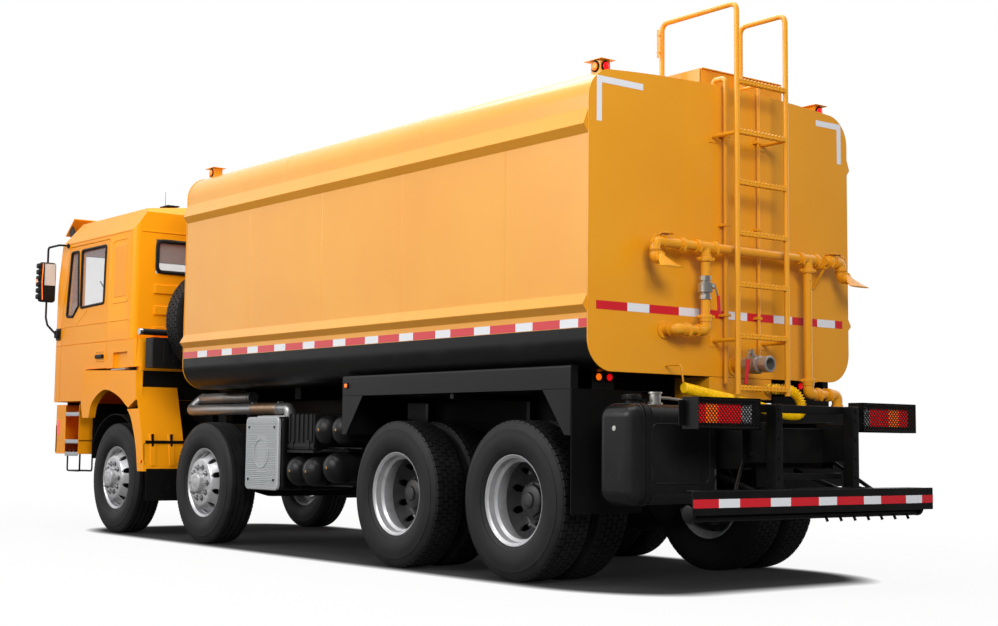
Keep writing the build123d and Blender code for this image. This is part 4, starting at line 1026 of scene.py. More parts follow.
def nozzle_arm(shape, run_x, out, coupling_x):
    """The end of the cross pipe: a coupling, two elbows, a capped boss with a stay, and a fan."""
    drop = manifold_z - 0.110
    lid_x = run_x - 0.085 * out
    coupling(shape, at(coupling_x, manifold_z), left)
    reach = run_x - 0.06 * out
    bars(shape, 1,
        (at(coupling_x - 0.05 * out, manifold_z), "x", reach, cast_radius - 0.004, 24),
        (at(lid_x, manifold_z), "z", manifold_z + 0.052, 0.026, 20, 0.002),
        (at(lid_x, manifold_z + 0.050), "z", manifold_z + 0.062, 0.060, 28, 0.002, 0.020),
    )
    elbow(
        shape, at(run_x - 0.075 * out, manifold_z), at(run_x, manifold_z), at(run_x, drop + 0.045)
    )
    elbow(shape, at(run_x, drop + 0.055), at(run_x, drop), at(run_x, drop, 0.055))
    fan_nozzle(shape, at(run_x, drop - 0.004, 0.052))
    stay = ((lid_x, 0.060), (run_x + 0.02 * out, 0.035), (run_x + 0.045 * out, -0.02))
    tube(shape, [at(x, manifold_z + z, 0.02) for x, z in stay], 0.005, 0.02, 8)


nozzle_arm(pipes, 0.790, 1, 0.560)
nozzle_arm(pipes, -1.010, -1, -0.880)
box(
    pipes, (-0.870, tank_rear + 0.0003, manifold_z - 0.050), (-0.830, pipe_y, manifold_z - 0.026),
    0.003,
)
tube(pipes, [
    (-0.850, tank_rear + 0.01, manifold_z - 0.18), (-0.850, pipe_y - 0.01, manifold_z - 0.04),
], 0.010, sides=12)
tube(pipes, [
    (0.060, 3.780, 3.2918), (0.060, 3.780, 3.345), (0.060, 3.892, 3.345), (0.060, 3.892, 1.300),
], 0.017, 0.040, 16)
tube(pipes, [
    (-0.270, 3.6253, 3.345), (-0.270, 3.880, 3.345), (-0.270, 3.880, 1.480),
], 0.011, 0.024, 12)
for clip_x, clip_y, clip_radius in ((0.060, 3.892, 0.017), (-0.270, 3.880, 0.011)):
    for clip_z in (1.75, 2.35, 2.95):
        box(
            pipes, (clip_x - clip_radius - 0.012, tank_rear + 0.0003, clip_z - 0.009),
            (clip_x + clip_radius + 0.012, clip_y + clip_radius + 0.002, clip_z + 0.009), 0.002,
        )
tube(pipes, [
    (0.575, tank_rear + 0.0003, 1.400), (0.575, 3.990, 1.400), (0.555, 3.990, 1.2903),
], 0.006, 0.020, 10)
solid("spray_pipework", pipes, tank_orange, ["pipework"], "chassis", 40)

nickel = Finish("nickel_plate", "bare_steel", tone(198, 196, 190), metallic=0.85)
nickel.set("Roughness", nickel.noise(80.0, 4.0) * 0.25 + 0.22)
nickel.bump(nickel.noise(350.0, 2.0), 0.00012)
red_grip = Finish("red_grip", "lamp_plastic", tone(196, 26, 44), 0.38, coat_weight=0.3)
red_grip.bump(red_grip.noise(400.0, 1.0), 0.0001)
valves = bmesh.new()
grips = bmesh.new()
valve_low, valve_high = 1.830, 1.985
for near, far, radius, sides in (
    (valve_low, valve_low + 0.032, 0.040, 8), (valve_low + 0.030, valve_low + 0.050, 0.034, 24),
    (valve_low + 0.046, valve_high - 0.046, 0.050, 32),
    (valve_high - 0.050, valve_high - 0.030, 0.034, 24), (valve_high - 0.032, valve_high, 0.040, 8),
):
    bars(valves, 1, ((left_drop_x, pipe_y, near), "z", far, radius, sides, 0.003))
stem = Vector((left_drop_x - 0.028, pipe_y + 0.045, 1.915))
cylinder(valves, (left_drop_x, pipe_y, 1.915), stem, 0.013, 16, 0.001)
cylinder(valves, stem, stem + Vector((-0.007, 0.011, 0)), 0.018, 6, 0.001)
tube(valves, [
    stem + Vector((-0.004, 0.006, 0.018)), stem + Vector((-0.010, 0.016, -0.03)),
    stem + Vector((-0.028, 0.020, -0.075)),
], 0.006, 0.02, 10)
tube(grips, [
    stem + Vector((-0.024, 0.020, -0.060)), stem + Vector((-0.034, 0.020, -0.175)),
], 0.0105, sides=12)

# ---------------------------------------------------------------- drain valve and sump
# A folded steel sump under the rear of the tank in tank colour, with a nickel ball valve on a
# short pipe at its outlet. The lever has a red dipped grip.
drain_x, drain_z = -0.060, 1.425
sump = bmesh.new()
box(sump, (-0.430, 3.520, 1.205), (0.170, 3.845, 1.345), 0.006)
bars(sump, 1,
    ((drain_x, tank_rear + 0.0003, drain_z), "y", 3.955, 0.045, 32),
    ((drain_x, tank_rear + 0.0003, drain_z), "y", tank_rear + 0.010, 0.070, 32, 0.002),
)
solid("drain_sump", sump, tank_orange, ["drain_valve"])
DRAIN_BODY = (
    (3.950, 0.0), (3.950, 0.052), (3.985, 0.052), (3.990, 0.046), (4.000, 0.060), (4.020, 0.0615),
    (4.070, 0.0615), (4.085, 0.056), (4.090, 0.047), (4.120, 0.047), (4.122, 0.054), (4.166, 0.054),
    (4.170, 0.050), (4.170, 0.0385), (4.060, 0.0385), (4.060, 0.0),
)
drain = turned([(y, r) for y, r in DRAIN_BODY], 48, closed=False)
gather(valves, drain, Matrix.Translation((drain_x, 0, drain_z)) @ Matrix.Rotation(pi / 2, 4, "Z"))
cylinder(
    valves, (drain_x + 0.020, 4.035, drain_z + 0.050), (drain_x + 0.034, 4.035, drain_z + 0.088),
    0.015, 16, 0.001,
)
cylinder(
    valves, (drain_x + 0.034, 4.035, drain_z + 0.088), (drain_x + 0.038, 4.035, drain_z + 0.098),
    0.020, 6, 0.001,
)
tube(valves, [
    (drain_x + 0.036, 4.035, drain_z + 0.092), (drain_x + 0.068, 4.045, drain_z + 0.070),
    (drain_x + 0.085, 4.052, drain_z + 0.015),
], 0.0075, 0.02, 10)
tube(grips, [
    (drain_x + 0.083, 4.052, drain_z + 0.030), (drain_x + 0.112, 4.058, drain_z - 0.130),
], 0.0125, sides=12)
solid("ball_valves", valves, nickel)
solid("valve_grips", grips, red_grip)

# ---------------------------------------------------------------- suction hose
# A ribbed yellow suction hose, stored under the tank's rear edge: hung in a hook at the left,
# bent back at the right and pushed on to the sump's stub.
hose_radius = 0.035
hose_y = 4.010
HOSE_ROUTE = (
    (0.545, hose_y - 0.020, 1.255), (0.360, hose_y, 1.222), (0.060, hose_y, 1.182),
    (-0.220, hose_y + 0.010, 1.132), (-0.400, hose_y + 0.020, 1.100),
    (-0.520, hose_y + 0.020, 1.108), (-0.545, hose_y, 1.200), (-0.490, hose_y - 0.030, 1.272),
    (-0.380, hose_y - 0.050, 1.278), (-0.380, 3.8453, 1.278),
)
hose_yellow = Finish("hose_yellow", "hose_rubber", tone(246, 196, 4), 0.42, coat_weight=0.15)
hose_yellow.set(
    "Base Color",
    hose_yellow.blend(
        hose_yellow.noise(18.0, 4.0).band(0.4, 0.8), tone(248, 200, 4), tone(228, 176, 6)
    ),
)
hose_yellow.bump(hose_yellow.noise(300.0, 1.0), 0.0001)


def even_points(route, spacing):
    """Points at even distances along a smooth curve led by a route, each with its direction."""
    line = [v.co for v in run_mesh(route, "NURBS", resolution_u=24).vertices]
    placed, gone = [], 0.0
    for near, far in zip(line, line[1:]):
        run = (far - near).length
        while gone <= run:
            placed.append((near.lerp(far, gone / run), (far - near).normalized()))
            gone += spacing
        gone -= run
    return placed


hose = bmesh.new()
hose_line = even_points(HOSE_ROUTE, 0.0180)
tube(hose, [place for place, _ in hose_line], hose_radius - 0.0090, sides=20)
hose_rib = turned(
    [
        (0.0060 * cos(a), hose_radius - 0.0095 + 0.0110 * sin(a))
        for a in (0.0, pi / 4, pi / 2, 3 * pi / 4, pi)
    ],
    24, closed=False,
)
for place, direction in hose_line:
    gather(
        hose, hose_rib,
        Matrix.Translation(place) @ direction.to_track_quat("X", "Z").to_matrix().to_4x4(),
    )
cylinder(
    hose, hose_line[0][0] + Vector((0.004, 0, 0)), hose_line[0][0] - Vector((0.012, 0, 0)),
    hose_radius, 24, 0.003,
)
solid("suction_hose_ribbed", hose, hose_yellow, ["suction_hose"], "chassis", 60)
clamps = bmesh.new()
for clamp_y in (3.862, 3.905):
    bars(clamps, 1, (
        (-0.380, clamp_y, 1.278), "y", clamp_y + 0.010, hose_radius + 0.0015, 28, 0.001,
    ))
solid("hose_clamps", clamps, bright_steel)

# ---------------------------------------------------------------- manhole
# An open-topped steel box on the tank's crown, under a flat lid on two hinges. Both are folded
# sheet in tank colour, and the lid has a turned-down front edge, a handle and two wing nuts.
manhole_left, manhole_right = 0.030, -0.800
manhole_front, manhole_rear = 2.925, 3.625
manhole_top = 3.465
collar = bmesh.new()
for low, high in (
    ((manhole_left - 0.006, manhole_front, 3.2925), (manhole_left, manhole_rear, manhole_top)),
    ((manhole_right, manhole_front, 3.2705), (manhole_right + 0.006, manhole_rear, manhole_top)),
    ((manhole_right, manhole_front, 3.2930), (manhole_left, manhole_front + 0.006, manhole_top)),
    ((manhole_right, manhole_rear - 0.006, 3.2930), (manhole_left, manhole_rear, manhole_top)),
):
    box(collar, low, high, 0.001)
for wall_x in (manhole_left - 0.012, manhole_right + 0.006):
    box(
        collar, (wall_x, manhole_front + 0.006, manhole_top - 0.030),
        (wall_x + 0.006, manhole_rear - 0.006, manhole_top), 0.001,
    )
skirt_corners = [
    (manhole_right, 3.266), (manhole_left, 3.288), (manhole_left, 3.300), (manhole_right, 3.300)
]
for near, far in ((manhole_front, manhole_front + 0.006), (manhole_rear - 0.006, manhole_rear)):
    gather(collar, plate_across(skirt_corners, near, far))
solid("manhole_collar", collar, tank_orange, ["manhole_box"])
lid = bmesh.new()
box(
    lid, (manhole_right + 0.015, manhole_front, manhole_top + 0.0003),
    (manhole_left - 0.015, manhole_rear + 0.015, 3.473), 0.002,
)
hinge_y, hinge_z = manhole_front - 0.014, 3.477
for hinge_x in (manhole_left - 0.150, manhole_right + 0.150):
    for part in range(4):
        start = hinge_x - 0.040 + 0.020 * part
        bars(lid, 1, ((start + 0.0006, hinge_y, hinge_z), "x", start + 0.0194, 0.012, 20, 0.0012))
    box(
        lid, (hinge_x - 0.040, hinge_y, 3.4705), (hinge_x + 0.040, manhole_front + 0.070, 3.4765),
        0.0015,
    )
    for bolt_x in (hinge_x - 0.022, hinge_x + 0.022):
        bars(lid, 1, ((bolt_x, manhole_front + 0.045, 3.476), "z", 3.482, 0.008, 6, 0.001))
middle_x = (manhole_left + manhole_right) / 2
tube(lid, [
    (middle_x - 0.080, 3.560, 3.472), (middle_x - 0.080, 3.560, 3.486),
    (middle_x + 0.080, 3.560, 3.486), (middle_x + 0.080, 3.560, 3.472),
], 0.0045, 0.010, 12)
solid("manhole_lid_pressed", lid, tank_orange, ["manhole_lid"], "manhole_cover")

# ---------------------------------------------------------------- marker lamps
# Small twin marker lamps on the tank's four roof corners. Each is a folded bracket in tank colour
# with a flat cover, a lens facing outwards and a lens facing the rear or the front.
amber_lens = Finish("amber_lens", "lamp_plastic", tone(255, 120, 20), 0.18, coat_weight=0.6)
amber_lens.set("Emission Color", tone(255, 110, 10))
amber_lens.set("Emission Strength", 0.9)
red_lens = Finish("red_lens", "lamp_plastic", tone(220, 10, 18), 0.18, coat_weight=0.6)
red_lens.set("Emission Color", tone(235, 10, 20))
red_lens.set("Emission Strength", 0.8)
clear_lens = Finish("clear_lens", "lamp_plastic", tone(235, 238, 240), 0.15, coat_weight=0.6)
for lens_finish in (amber_lens, red_lens, clear_lens):
    lens_finish.bump(lens_finish.cells(260.0), 0.0012)
lamp_stands = bmesh.new()
lens_rings = bmesh.new()
lenses = {"amber": bmesh.new(), "red": bmesh.new(), "clear": bmesh.new()}


def round_lamp(middle, facing, colour, radius=0.036):
    """A round marker lamp: black rubber ring and a domed lens of the given colour."""
    middle, facing = Vector(middle), Vector(facing)
    cylinder(lens_rings, middle, middle + facing * 0.010, radius, 24, 0.003)
    dome = turned([
        (0.000, radius * 0.74), (0.006, radius * 0.70), (0.010, radius * 0.45), (0.0115, 0.0),
    ], 24, closed=False)
    gather(
        lenses[colour], dome,
        Matrix.Translation(
            middle + facing * 0.0095
        ) @ facing.to_track_quat("X", "Z").to_matrix().to_4x4(),
    )


for side, end_y, facing_y, end_colour in (
    (1, 3.725, 1, "red"), (-1, 3.725, 1, "red"), (1, -1.460, -1, "amber"), (-1, -1.460, -1, "amber")
):
    lamp_x = side * 1.030
    boxes(lamp_stands, 1,
        ((lamp_x - 0.042, end_y - 0.045, 3.246), (lamp_x + 0.042, end_y + 0.045, 3.332), 0.002),
        ((lamp_x - 0.062, end_y - 0.090, 3.330), (lamp_x + 0.062, end_y + 0.075, 3.3345), 0.001),
    )
    round_lamp((lamp_x + side * 0.041, end_y, 3.290), (side, 0, 0), "amber")
    round_lamp((lamp_x, end_y + facing_y * 0.044, 3.290), (0, facing_y, 0), end_colour)
boxes(lamp_stands, 1,
    ((0.480, 3.560, 3.2865), (0.560, 3.566, 3.345), 0.002),
    ((0.480, 3.566, 3.2865), (0.560, 3.640, 3.2915), 0.002),
)
tube(lamp_stands, [
    (0.500, 3.562, 3.325), (0.440, 3.50, 3.300), (0.400, 3.40, 3.2945),
], 0.006, 0.03, 10)
solid("marker_lamp_stands", lamp_stands, tank_orange)

# ---------------------------------------------------------------- rear frame and bumper
# A folded steel under-run bumper on two bolted box uprights, in black chassis paint. It has a
# punched non-slip step in the middle, reflective film on its face and a spray pipe underneath.
rear_end = 4.635
bumper_half = 1.120
bumper_front = 4.503
bumper_low, bumper_high = 0.492, 0.634
upright_x = 0.360
frame_black = bmesh.new()
box(
    frame_black, (-bumper_half, rear_end - 0.012, bumper_low),
    (bumper_half, rear_end - 0.0008, bumper_high), 0.004, 3,
)
for flange_z in (bumper_low, bumper_high - 0.008):
    box(
        frame_black, (-bumper_half + 0.080, bumper_front, flange_z),
        (bumper_half - 0.080, rear_end - 0.004, flange_z + 0.008), 0.002,
    )
box(
    frame_black, (-0.900, bumper_front, bumper_low), (0.900, bumper_front + 0.008, bumper_high),
    0.002,
)
for side in SIDES.values():
    boxes(frame_black, side,
        ((upright_x - 0.030, 4.533, 0.630), (upright_x + 0.030, rear_end - 0.020, 1.150), 0.005, 2),
        ((upright_x - 0.015, 4.3003, 0.800), (upright_x + 0.015, 4.533, 1.040), 0.003),
        (
            (upright_x - 0.060, 4.520, bumper_high - 0.001),
            (upright_x + 0.060, rear_end - 0.008, bumper_high + 0.006), 0.001,
        ),
    )
    for bolt_x in (-0.046, 0.046):
        for bolt_y in (4.545, 4.605):
            place = (side * upright_x + bolt_x, bolt_y, bumper_high + 0.006)
            cylinder(frame_black, place, (*place[:2], place[2] + 0.008), 0.009, 6, 0.001)
    for bolt_z in (0.70, 0.82, 0.94, 1.06, 1.12):
        bars(frame_black, side, (
            (upright_x, rear_end - 0.021, bolt_z), "y", rear_end - 0.014, 0.010, 6, 0.001,
        ))
    for bolt_z in (0.84, 1.00):
        edge_x = side * (upright_x + 0.015)
        bars(frame_black, 1, ((edge_x, 4.40, bolt_z), "x", edge_x + side * 0.009, 0.011, 6, 0.001))
    tube(frame_black, [
        (0.400, 4.070, 0.7357), (0.400, bumper_front + 0.010, 0.600),
    ], 0.015, sides=16, side=side)
    tube(frame_black, [
        (0.300, 4.290, 0.9), (0.640, bumper_front + 0.006, 0.625),
    ], 0.013, sides=16, side=side)
    cap = turned([
        (0.0, 0.000), (0.0, 0.044), (0.010, 0.050), (0.022, 0.050), (0.026, 0.044), (0.026, 0.0),
    ], 32, closed=False)
    gather(
        frame_black, cap,
        Matrix.Translation(
            (side * 1.050, bumper_front + 0.040, 0.4985)
        ) @ Matrix.Diagonal((side, 1, 1, 1)),
    )
boxes(frame_black, 1,
    ((-0.4797, 4.473, 1.100), (0.4797, 4.538, 1.150), 0.006, 2),
    ((-0.330, 4.480, 0.690), (0.330, 4.520, 0.730), 0.004, 2),
)
tube(frame_black, [
    (-1.050, bumper_front + 0.040, 0.472), (1.050, bumper_front + 0.040, 0.472),
], 0.0215, sides=20)
pin_places = [-0.12 - 0.135 * number for number in range(7)]
for pin_x in pin_places:
    start = Vector((pin_x, bumper_front + 0.045, 0.490))
    cylinder(frame_black, start, start + Vector((-0.014, 0.020, -0.060)), 0.009, 12, 0.001)
# A plain black sheet behind the right rear wheels: painted shade filling the gap that shows there.
box(frame_black, (-1.160, 3.868, 0.620), (-0.240, 3.876, 1.170), 0.002)
solid("rear_frame", frame_black, black_paint, ["rear_bumper"])

step = bmesh.new()
box(
    step, (-0.520, bumper_front + 0.012, bumper_high + 0.0002),
    (0.220, rear_end - 0.012, bumper_high + 0.004), 0.001,
)
for row in range(4):
    for number in range(24):
        stud_x = -0.500 + number * 0.030 + 0.015 * (row % 2)
        stud_y = bumper_front + 0.030 + row * 0.024
        bars(step, 1, (
            (stud_x, stud_y, bumper_high + 0.0035), "z", bumper_high + 0.0085, 0.0075, 8, 0.0,
            0.0045,
        ))
solid("bumper_step", step, black_paint)

BUMPER_STRIP = (
    1.118, 0.908, 0.731, 0.463, 0.284, 0.027, -0.144, -0.406, -0.576, -0.832, -1.000, -1.118
)
strips = {strip_red: bmesh.new(), strip_white: bmesh.new()}
for number, (start, stop) in enumerate(zip(BUMPER_STRIP, BUMPER_STRIP[1:])):
    colour = strip_white if number % 2 else strip_red
    box(strips[colour], (stop, rear_end - 0.0009, 0.535), (start, rear_end - 0.0003, 0.586))
solid("bumper_strip_red", strips[strip_red], strip_red)
solid("bumper_strip_white", strips[strip_white], strip_white)

# ---------------------------------------------------------------- tail lamps
# Tail lamps in folded black boxes behind an expanded-metal guard: red, amber, red, red and clear
# lenses from the outside in. The left one has a slotted side bracket.
lamp_inner, lamp_outer = 0.480, 1.030
lamp_low, lamp_high = 0.990, 1.180
lamp_front, lamp_rear = 4.455, 4.575
lamp_boxes = bmesh.new()
lamp_guards = bmesh.new()
for side in SIDES.values():
    edge = 0.016
    boxes(lamp_boxes, side,
        ((lamp_inner, lamp_front, lamp_low), (lamp_outer, lamp_front + 0.040, lamp_high), 0.003),
        ((
            lamp_inner, lamp_front + 0.030, lamp_high - 0.008,
        ), (lamp_outer, lamp_rear, lamp_high), 0.002),
        (
            (lamp_inner, lamp_front + 0.030, lamp_low), (lamp_outer, lamp_rear, lamp_low + 0.008),
            0.002,
        ),
    )
    for wall in (lamp_inner, lamp_outer - 0.008):
        boxes(lamp_boxes, side, (
            (wall, lamp_front + 0.030, lamp_low), (wall + 0.008, lamp_rear, lamp_high), 0.002,
        ))
    for near, far in ((lamp_low, lamp_low + edge), (lamp_high - edge, lamp_high)):
        boxes(lamp_boxes, side, (
            (lamp_inner, lamp_rear - 0.006, near), (lamp_outer, lamp_rear, far), 0.002,
        ))
    for near, far in ((lamp_inner, lamp_inner + 0.014), (lamp_outer - 0.014, lamp_outer)):
        boxes(lamp_boxes, side, (
            (near, lamp_rear - 0.006, lamp_low), (far, lamp_rear, lamp_high), 0.002,
        ))
    boxes(lamp_boxes, side, (
        (lamp_inner + 0.020, lamp_front + 0.035, lamp_low + 0.030),
        (lamp_outer - 0.020, lamp_front + 0.060, lamp_high - 0.030), 0.006, 2,
    ))
    colours = ("clear", "red", "red", "amber", "red")
    for number, colour in enumerate(colours):
        lens_in = lamp_inner + 0.028 + number * 0.0995
        low = (side * lens_in, lamp_front + 0.055, lamp_low + 0.040)
        box(lenses[colour], low, (
            side * (lens_in + 0.096), lamp_front + 0.078, lamp_high - 0.040,
        ), 0.008, 3)
    wire_step = 0.027
    span = lamp_high - lamp_low - 2 * edge
    guard_out = lamp_outer - 0.014
    for lean in (1, -1):
        run = lamp_inner + 0.014 - span
        while run < guard_out:
            cut_in = max(lamp_inner + 0.014 - run, 0)
            cut_out = max(run + span - guard_out, 0)
            ends = ((run + cut_in, cut_in), (run + span - cut_out, span - cut_out))
            if ends[1][0] - ends[0][0] > 0.002:
                wire = [
                    (side * x, lamp_rear - 0.004, lamp_low + edge + (z if lean == 1 else span - z))
                    for x, z in ends
                ]
                cylinder(lamp_guards, *wire, 0.0040 if lean == 1 else 0.0034, 6)
            run += wire_step
boxes(lamp_boxes, 1,
    (
        (lamp_outer + 0.001, lamp_front + 0.030, lamp_low),
        (lamp_outer + 0.006, lamp_rear + 0.020, lamp_high), 0.001,
    ),
    (
        (lamp_outer + 0.001, lamp_front + 0.020, lamp_low + 0.020),
        (lamp_outer + 0.050, lamp_front + 0.026, lamp_high - 0.020), 0.001,
    ),
)
solid("lamp_boxes", lamp_boxes, black_paint, ["tail_lamps"])
solid("lamp_guards", lamp_guards, black_paint)

# ---------------------------------------------------------------- fuel tanks
# Two pressed steel fuel tanks in black gloss on the frame rails, with wide corner radii, an
# embossed end panel, two straps each, a filler cap and a nickel sender flange.
tank_gloss = black_finish("black_tank_gloss", "black_paint", 0.010, 0.20, 40.0, 0.00005)
cap_black = black_finish("black_cap_plastic", "black_paint", 0.008, 0.4, 500.0, 0.0001)


def rounded_loop(points, bend):
    """A closed outline with its corners rounded, as points in order."""
    spots = [Vector(point) for point in points]
    start = (spots[0] + spots[-1]) / 2
    return bent_route([start, *spots, start], bend)


def hoop(shape, points, bend, radius):
    """Adds a round bead along a closed outline."""
    route = rounded_loop(points, bend)[:-1]
    shape.from_mesh(run_mesh(route, closed=True, bevel_depth=radius, bevel_resolution=3))


def round_about(middle, radius, count, phase=0.0):
    """Places spaced evenly on a circle round a middle, as pairs."""
    turns = [tau * (number + phase) / count for number in range(count)]
    return [(middle[0] + radius * cos(a), middle[1] + radius * sin(a)) for a in turns]


def fuel_tank(name, inner_x, outer_x, front, rear, low_z, high_z, stands_for=()):
    """A rounded fuel tank between an inner and an outer X, with its straps and fittings."""
    side = 1 if outer_x > 0 else -1
    corner = 0.085
    section = ((front, low_z), (rear, low_z), (rear, high_z), (front, high_z))
    shape = bmesh.new()
    box(shape, (inner_x, front, low_z), (outer_x, rear, high_z), corner, 8)
    low_x, high_x = inner_x + side * 0.110, outer_x - side * 0.150
    panel_low, panel_high = low_z + 0.130, high_z - 0.120
    panel = ((low_x, panel_low), (high_x, panel_low), (high_x, panel_high), (low_x, panel_high))
    for face_y in (rear, front):
        hoop(shape, [(x, face_y, z) for x, z in panel], 0.060, 0.0055)
    for seam_x in (outer_x - side * corner, outer_x - side * 0.155):
        hoop(shape, [(seam_x, y, z) for y, z in section], corner, 0.0035)
    solid(f"{name}_shell", shape, tank_gloss, stands_for)
    fittings = bmesh.new()
    strap_width = 0.040
    middle_y = (front + rear) / 2
    for strap_x in (outer_x - side * 0.120, inner_x + side * 0.170):
        edge_x = strap_x - strap_width / 2
        middle = Vector((edge_x, middle_y, (low_z + high_z) / 2))
        route = rounded_loop([(edge_x, y, z) for y, z in section], corner)[:-1]
        outer = [spot + (spot - middle).normalized() * 0.005 for spot in route]
        gather(fittings, drawn_out(outer, (strap_width, 0, 0)))
    # The cap's neck and lid, then the sender's flange, body and lid: heights, radius and rounding
    cap = (outer_x - side * 0.190, middle_y - 0.05)
    for low, high, radius, bevel in ((-0.002, 0.026, 0.042, 0.002), (0.024, 0.062, 0.056, 0.010)):
        cylinder(fittings, (*cap, high_z + low), (*cap, high_z + high), radius, 28, bevel)
    for place in round_about(cap, 0.056, 8):
        cylinder(fittings, (*place, high_z + 0.028), (*place, high_z + 0.056), 0.006, 8, 0.001)
    solid(f"{name}_straps", fittings, cap_black)
    fittings = bmesh.new()
    sender_x = outer_x - side * 0.340
    for low, high, radius, bevel in (
        (0.0, 0.010, 0.048, 0.001), (0.008, 0.070, 0.036, 0.003), (0.066, 0.078, 0.044, 0.002)
    ):
        bars(fittings, 1, (
            (sender_x, middle_y, high_z + low), "z", high_z + high, radius, 28, bevel,
        ))
    for place in round_about((sender_x, middle_y), 0.040, 6):
        cylinder(fittings, (*place, high_z + 0.009), (*place, high_z + 0.016), 0.005, 6)
    hose_run = ((0.030, 0.0, 0.045), (-side * 0.09, 0.03, 0.040), (-side * 0.18, 0.05, 0.030))
    tube(
        fittings, [(sender_x + x, middle_y + y, high_z + z) for x, y, z in hose_run], 0.010, 0.03,
        12,
    )
    for near, far, radius, sides, bevel in ((
        -0.004, 0.003, 0.016, 24, 0.001,
    ), (0.002, 0.005, 0.009, 6, 0.0)):
        bars(fittings, 1, (
            (outer_x + side * near, middle_y, high_z - 0.150), "x", outer_x + side * far, radius,
            sides, bevel,
        ))
    solid(f"{name}_sender", fittings, nickel)


fuel_tank("rear_fuel_tank", 0.4305, 1.186, 3.868, 4.207, 0.533, 1.142, ["fuel_tanks"])
fuel_tank("middle_fuel_tank", -0.4305, -1.147, -0.522, 0.522, 0.503, 1.037)

# ---------------------------------------------------------------- exhaust
# A box silencer behind a ribbed silver heat guard, fed by bare aluminised pipe: a run forwards
# along the frame, a return run with a bronze flexible joint, and an elbow down into the box.
worn_steel = dusty(
    "worn_aluminised_steel", "bare_steel", tone(158, 158, 157), tone(112, 96, 82), 0.34,
    (6.0, 6.0, 0.65), (0.52, 0.78), 0.6, 0.25, metallic=0.8,
)
worn_steel.bump(worn_steel.noise(160.0, 3.0), 0.0002)
flex_bronze = Finish("flex_bronze", "bare_steel", tone(150, 124, 102), 0.38, metallic=0.8)
flex_bronze.bump((flex_bronze.axis("Y") * 900.0).math("SINE"), 0.0006)
guard_silver = Finish("guard_silver", "silver_paint", tone(184, 187, 188), 0.42, metallic=0.25)
guard_holes = (
    guard_silver.axis("Y") * 250.0
).math("SINE") * (guard_silver.axis("Z") * 250.0).math("SINE")
guard_holes = guard_holes.math("ABSOLUTE").band(0.2, 0.6) * (
    guard_silver.axis("X") - 1.1105
).band(0.0, 0.001)
guard_silver.set(
    "Base Color", guard_silver.blend(guard_holes, tone(190, 193, 194), tone(142, 145, 147))
)
guard_silver.bump(guard_silver.noise(300.0, 2.0), 0.0001)
silencer_front, silencer_rear = -0.633, -0.075
silencer = bmesh.new()
box(silencer, (0.4305, silencer_front + 0.010, 0.495), (1.080, silencer_rear, 1.085), 0.030, 3)
for band_x in (0.62, 0.90):
    box(
        silencer, (band_x - 0.012, silencer_front + 0.007, 0.492),
        (band_x + 0.012, silencer_rear + 0.003, 1.088), 0.028, 3,
    )
solid("silencer_box", silencer, black_paint, ["exhaust"])


def add_slab(shape, points, x_from, x_to, bevel=0.0, segments=2):
    """Adds a flat plate with an outline in Y and Z, between two X planes."""
    outline = [(x_from, y, z) for y, z in points]
    gather(shape, drawn_out(outline, (x_to - x_from, 0, 0), bevel, 25, segments))


guard = bmesh.new()
guard_corners = (
    (silencer_front, 0.490), (silencer_rear - 0.020, 0.490), (silencer_rear - 0.020, 1.090),
    (silencer_front, 1.090),
)
guard_outline = [
    (spot.y, spot.z) for spot in rounded_loop([(0, y, z) for y, z in guard_corners], 0.055)[:-1]
]
add_slab(guard, guard_outline, 1.082, 1.112, 0.010, 3)
for number in range(33):
    rib_z = 0.535 + number * 0.0160
    for near, far in ((silencer_front + 0.040, -0.440), (-0.290, silencer_rear - 0.060)):
        box(guard, (1.110, near, rib_z), (1.1155, far, rib_z + 0.007), 0.0015)
    if abs(rib_z - 0.790) > 0.150:
        box(guard, (1.110, -0.442, rib_z), (1.1155, -0.288, rib_z + 0.007), 0.0015)
ring = turned([(1.110, 0.124), (1.1175, 0.121), (1.1175, 0.113), (1.110, 0.110)], 64)
gather(guard, ring, Matrix.Translation((0, -0.365, 0.790)))
guard_screws = bmesh.new()
for bolt_y in (silencer_front + 0.060, silencer_rear - 0.080):
    for bolt_z in (0.575, 1.005):
        bars(guard_screws, 1, ((1.111, bolt_y, bolt_z), "x", 1.119, 0.011, 12, 0.001))
solid("silencer_guard", guard, guard_silver)
solid("silencer_guard_screws", guard_screws, black_paint)
pipe_steel = bmesh.new()
tube(pipe_steel, [
    (0.800, -1.105, 1.272), (0.800, -2.045, 1.272), (0.900, -2.085, 1.165), (0.900, -0.275, 1.165),
    (0.900, -0.275, 1.080),
], 0.0475, 0.052, 28)
for clamp_y in (-1.105, -1.42, -2.02):
    bars(pipe_steel, 1, ((0.800, clamp_y, 1.272), "y", clamp_y + 0.024, 0.0515, 32, 0.002))
tube(pipe_steel, [(0.800, -1.44, 1.272), (0.800, -1.125, 1.272)], 0.0500, sides=28)
for clamp_y in (-0.90, -0.455):
    bars(pipe_steel, 1,
        ((0.900, clamp_y, 1.165), "y", clamp_y + 0.026, 0.0525, 32, 0.002),
        ((0.880, clamp_y + 0.013, 1.216), "x", 0.920, 0.008, 10),
        ((0.872, clamp_y + 0.013, 1.216), "x", 0.880, 0.011, 6),
    )
solid("exhaust_pipe", pipe_steel, worn_steel)
flex = bmesh.new()
tube(flex, [(0.900, -0.875, 1.165), (0.900, -0.455, 1.165)], 0.0505, sides=28)
solid("exhaust_flex", flex, flex_bronze)
shield = bmesh.new()
box(shield, (0.720, silencer_front + 0.10, 1.0905), (1.060, silencer_rear - 0.02, 1.100), 0.002)
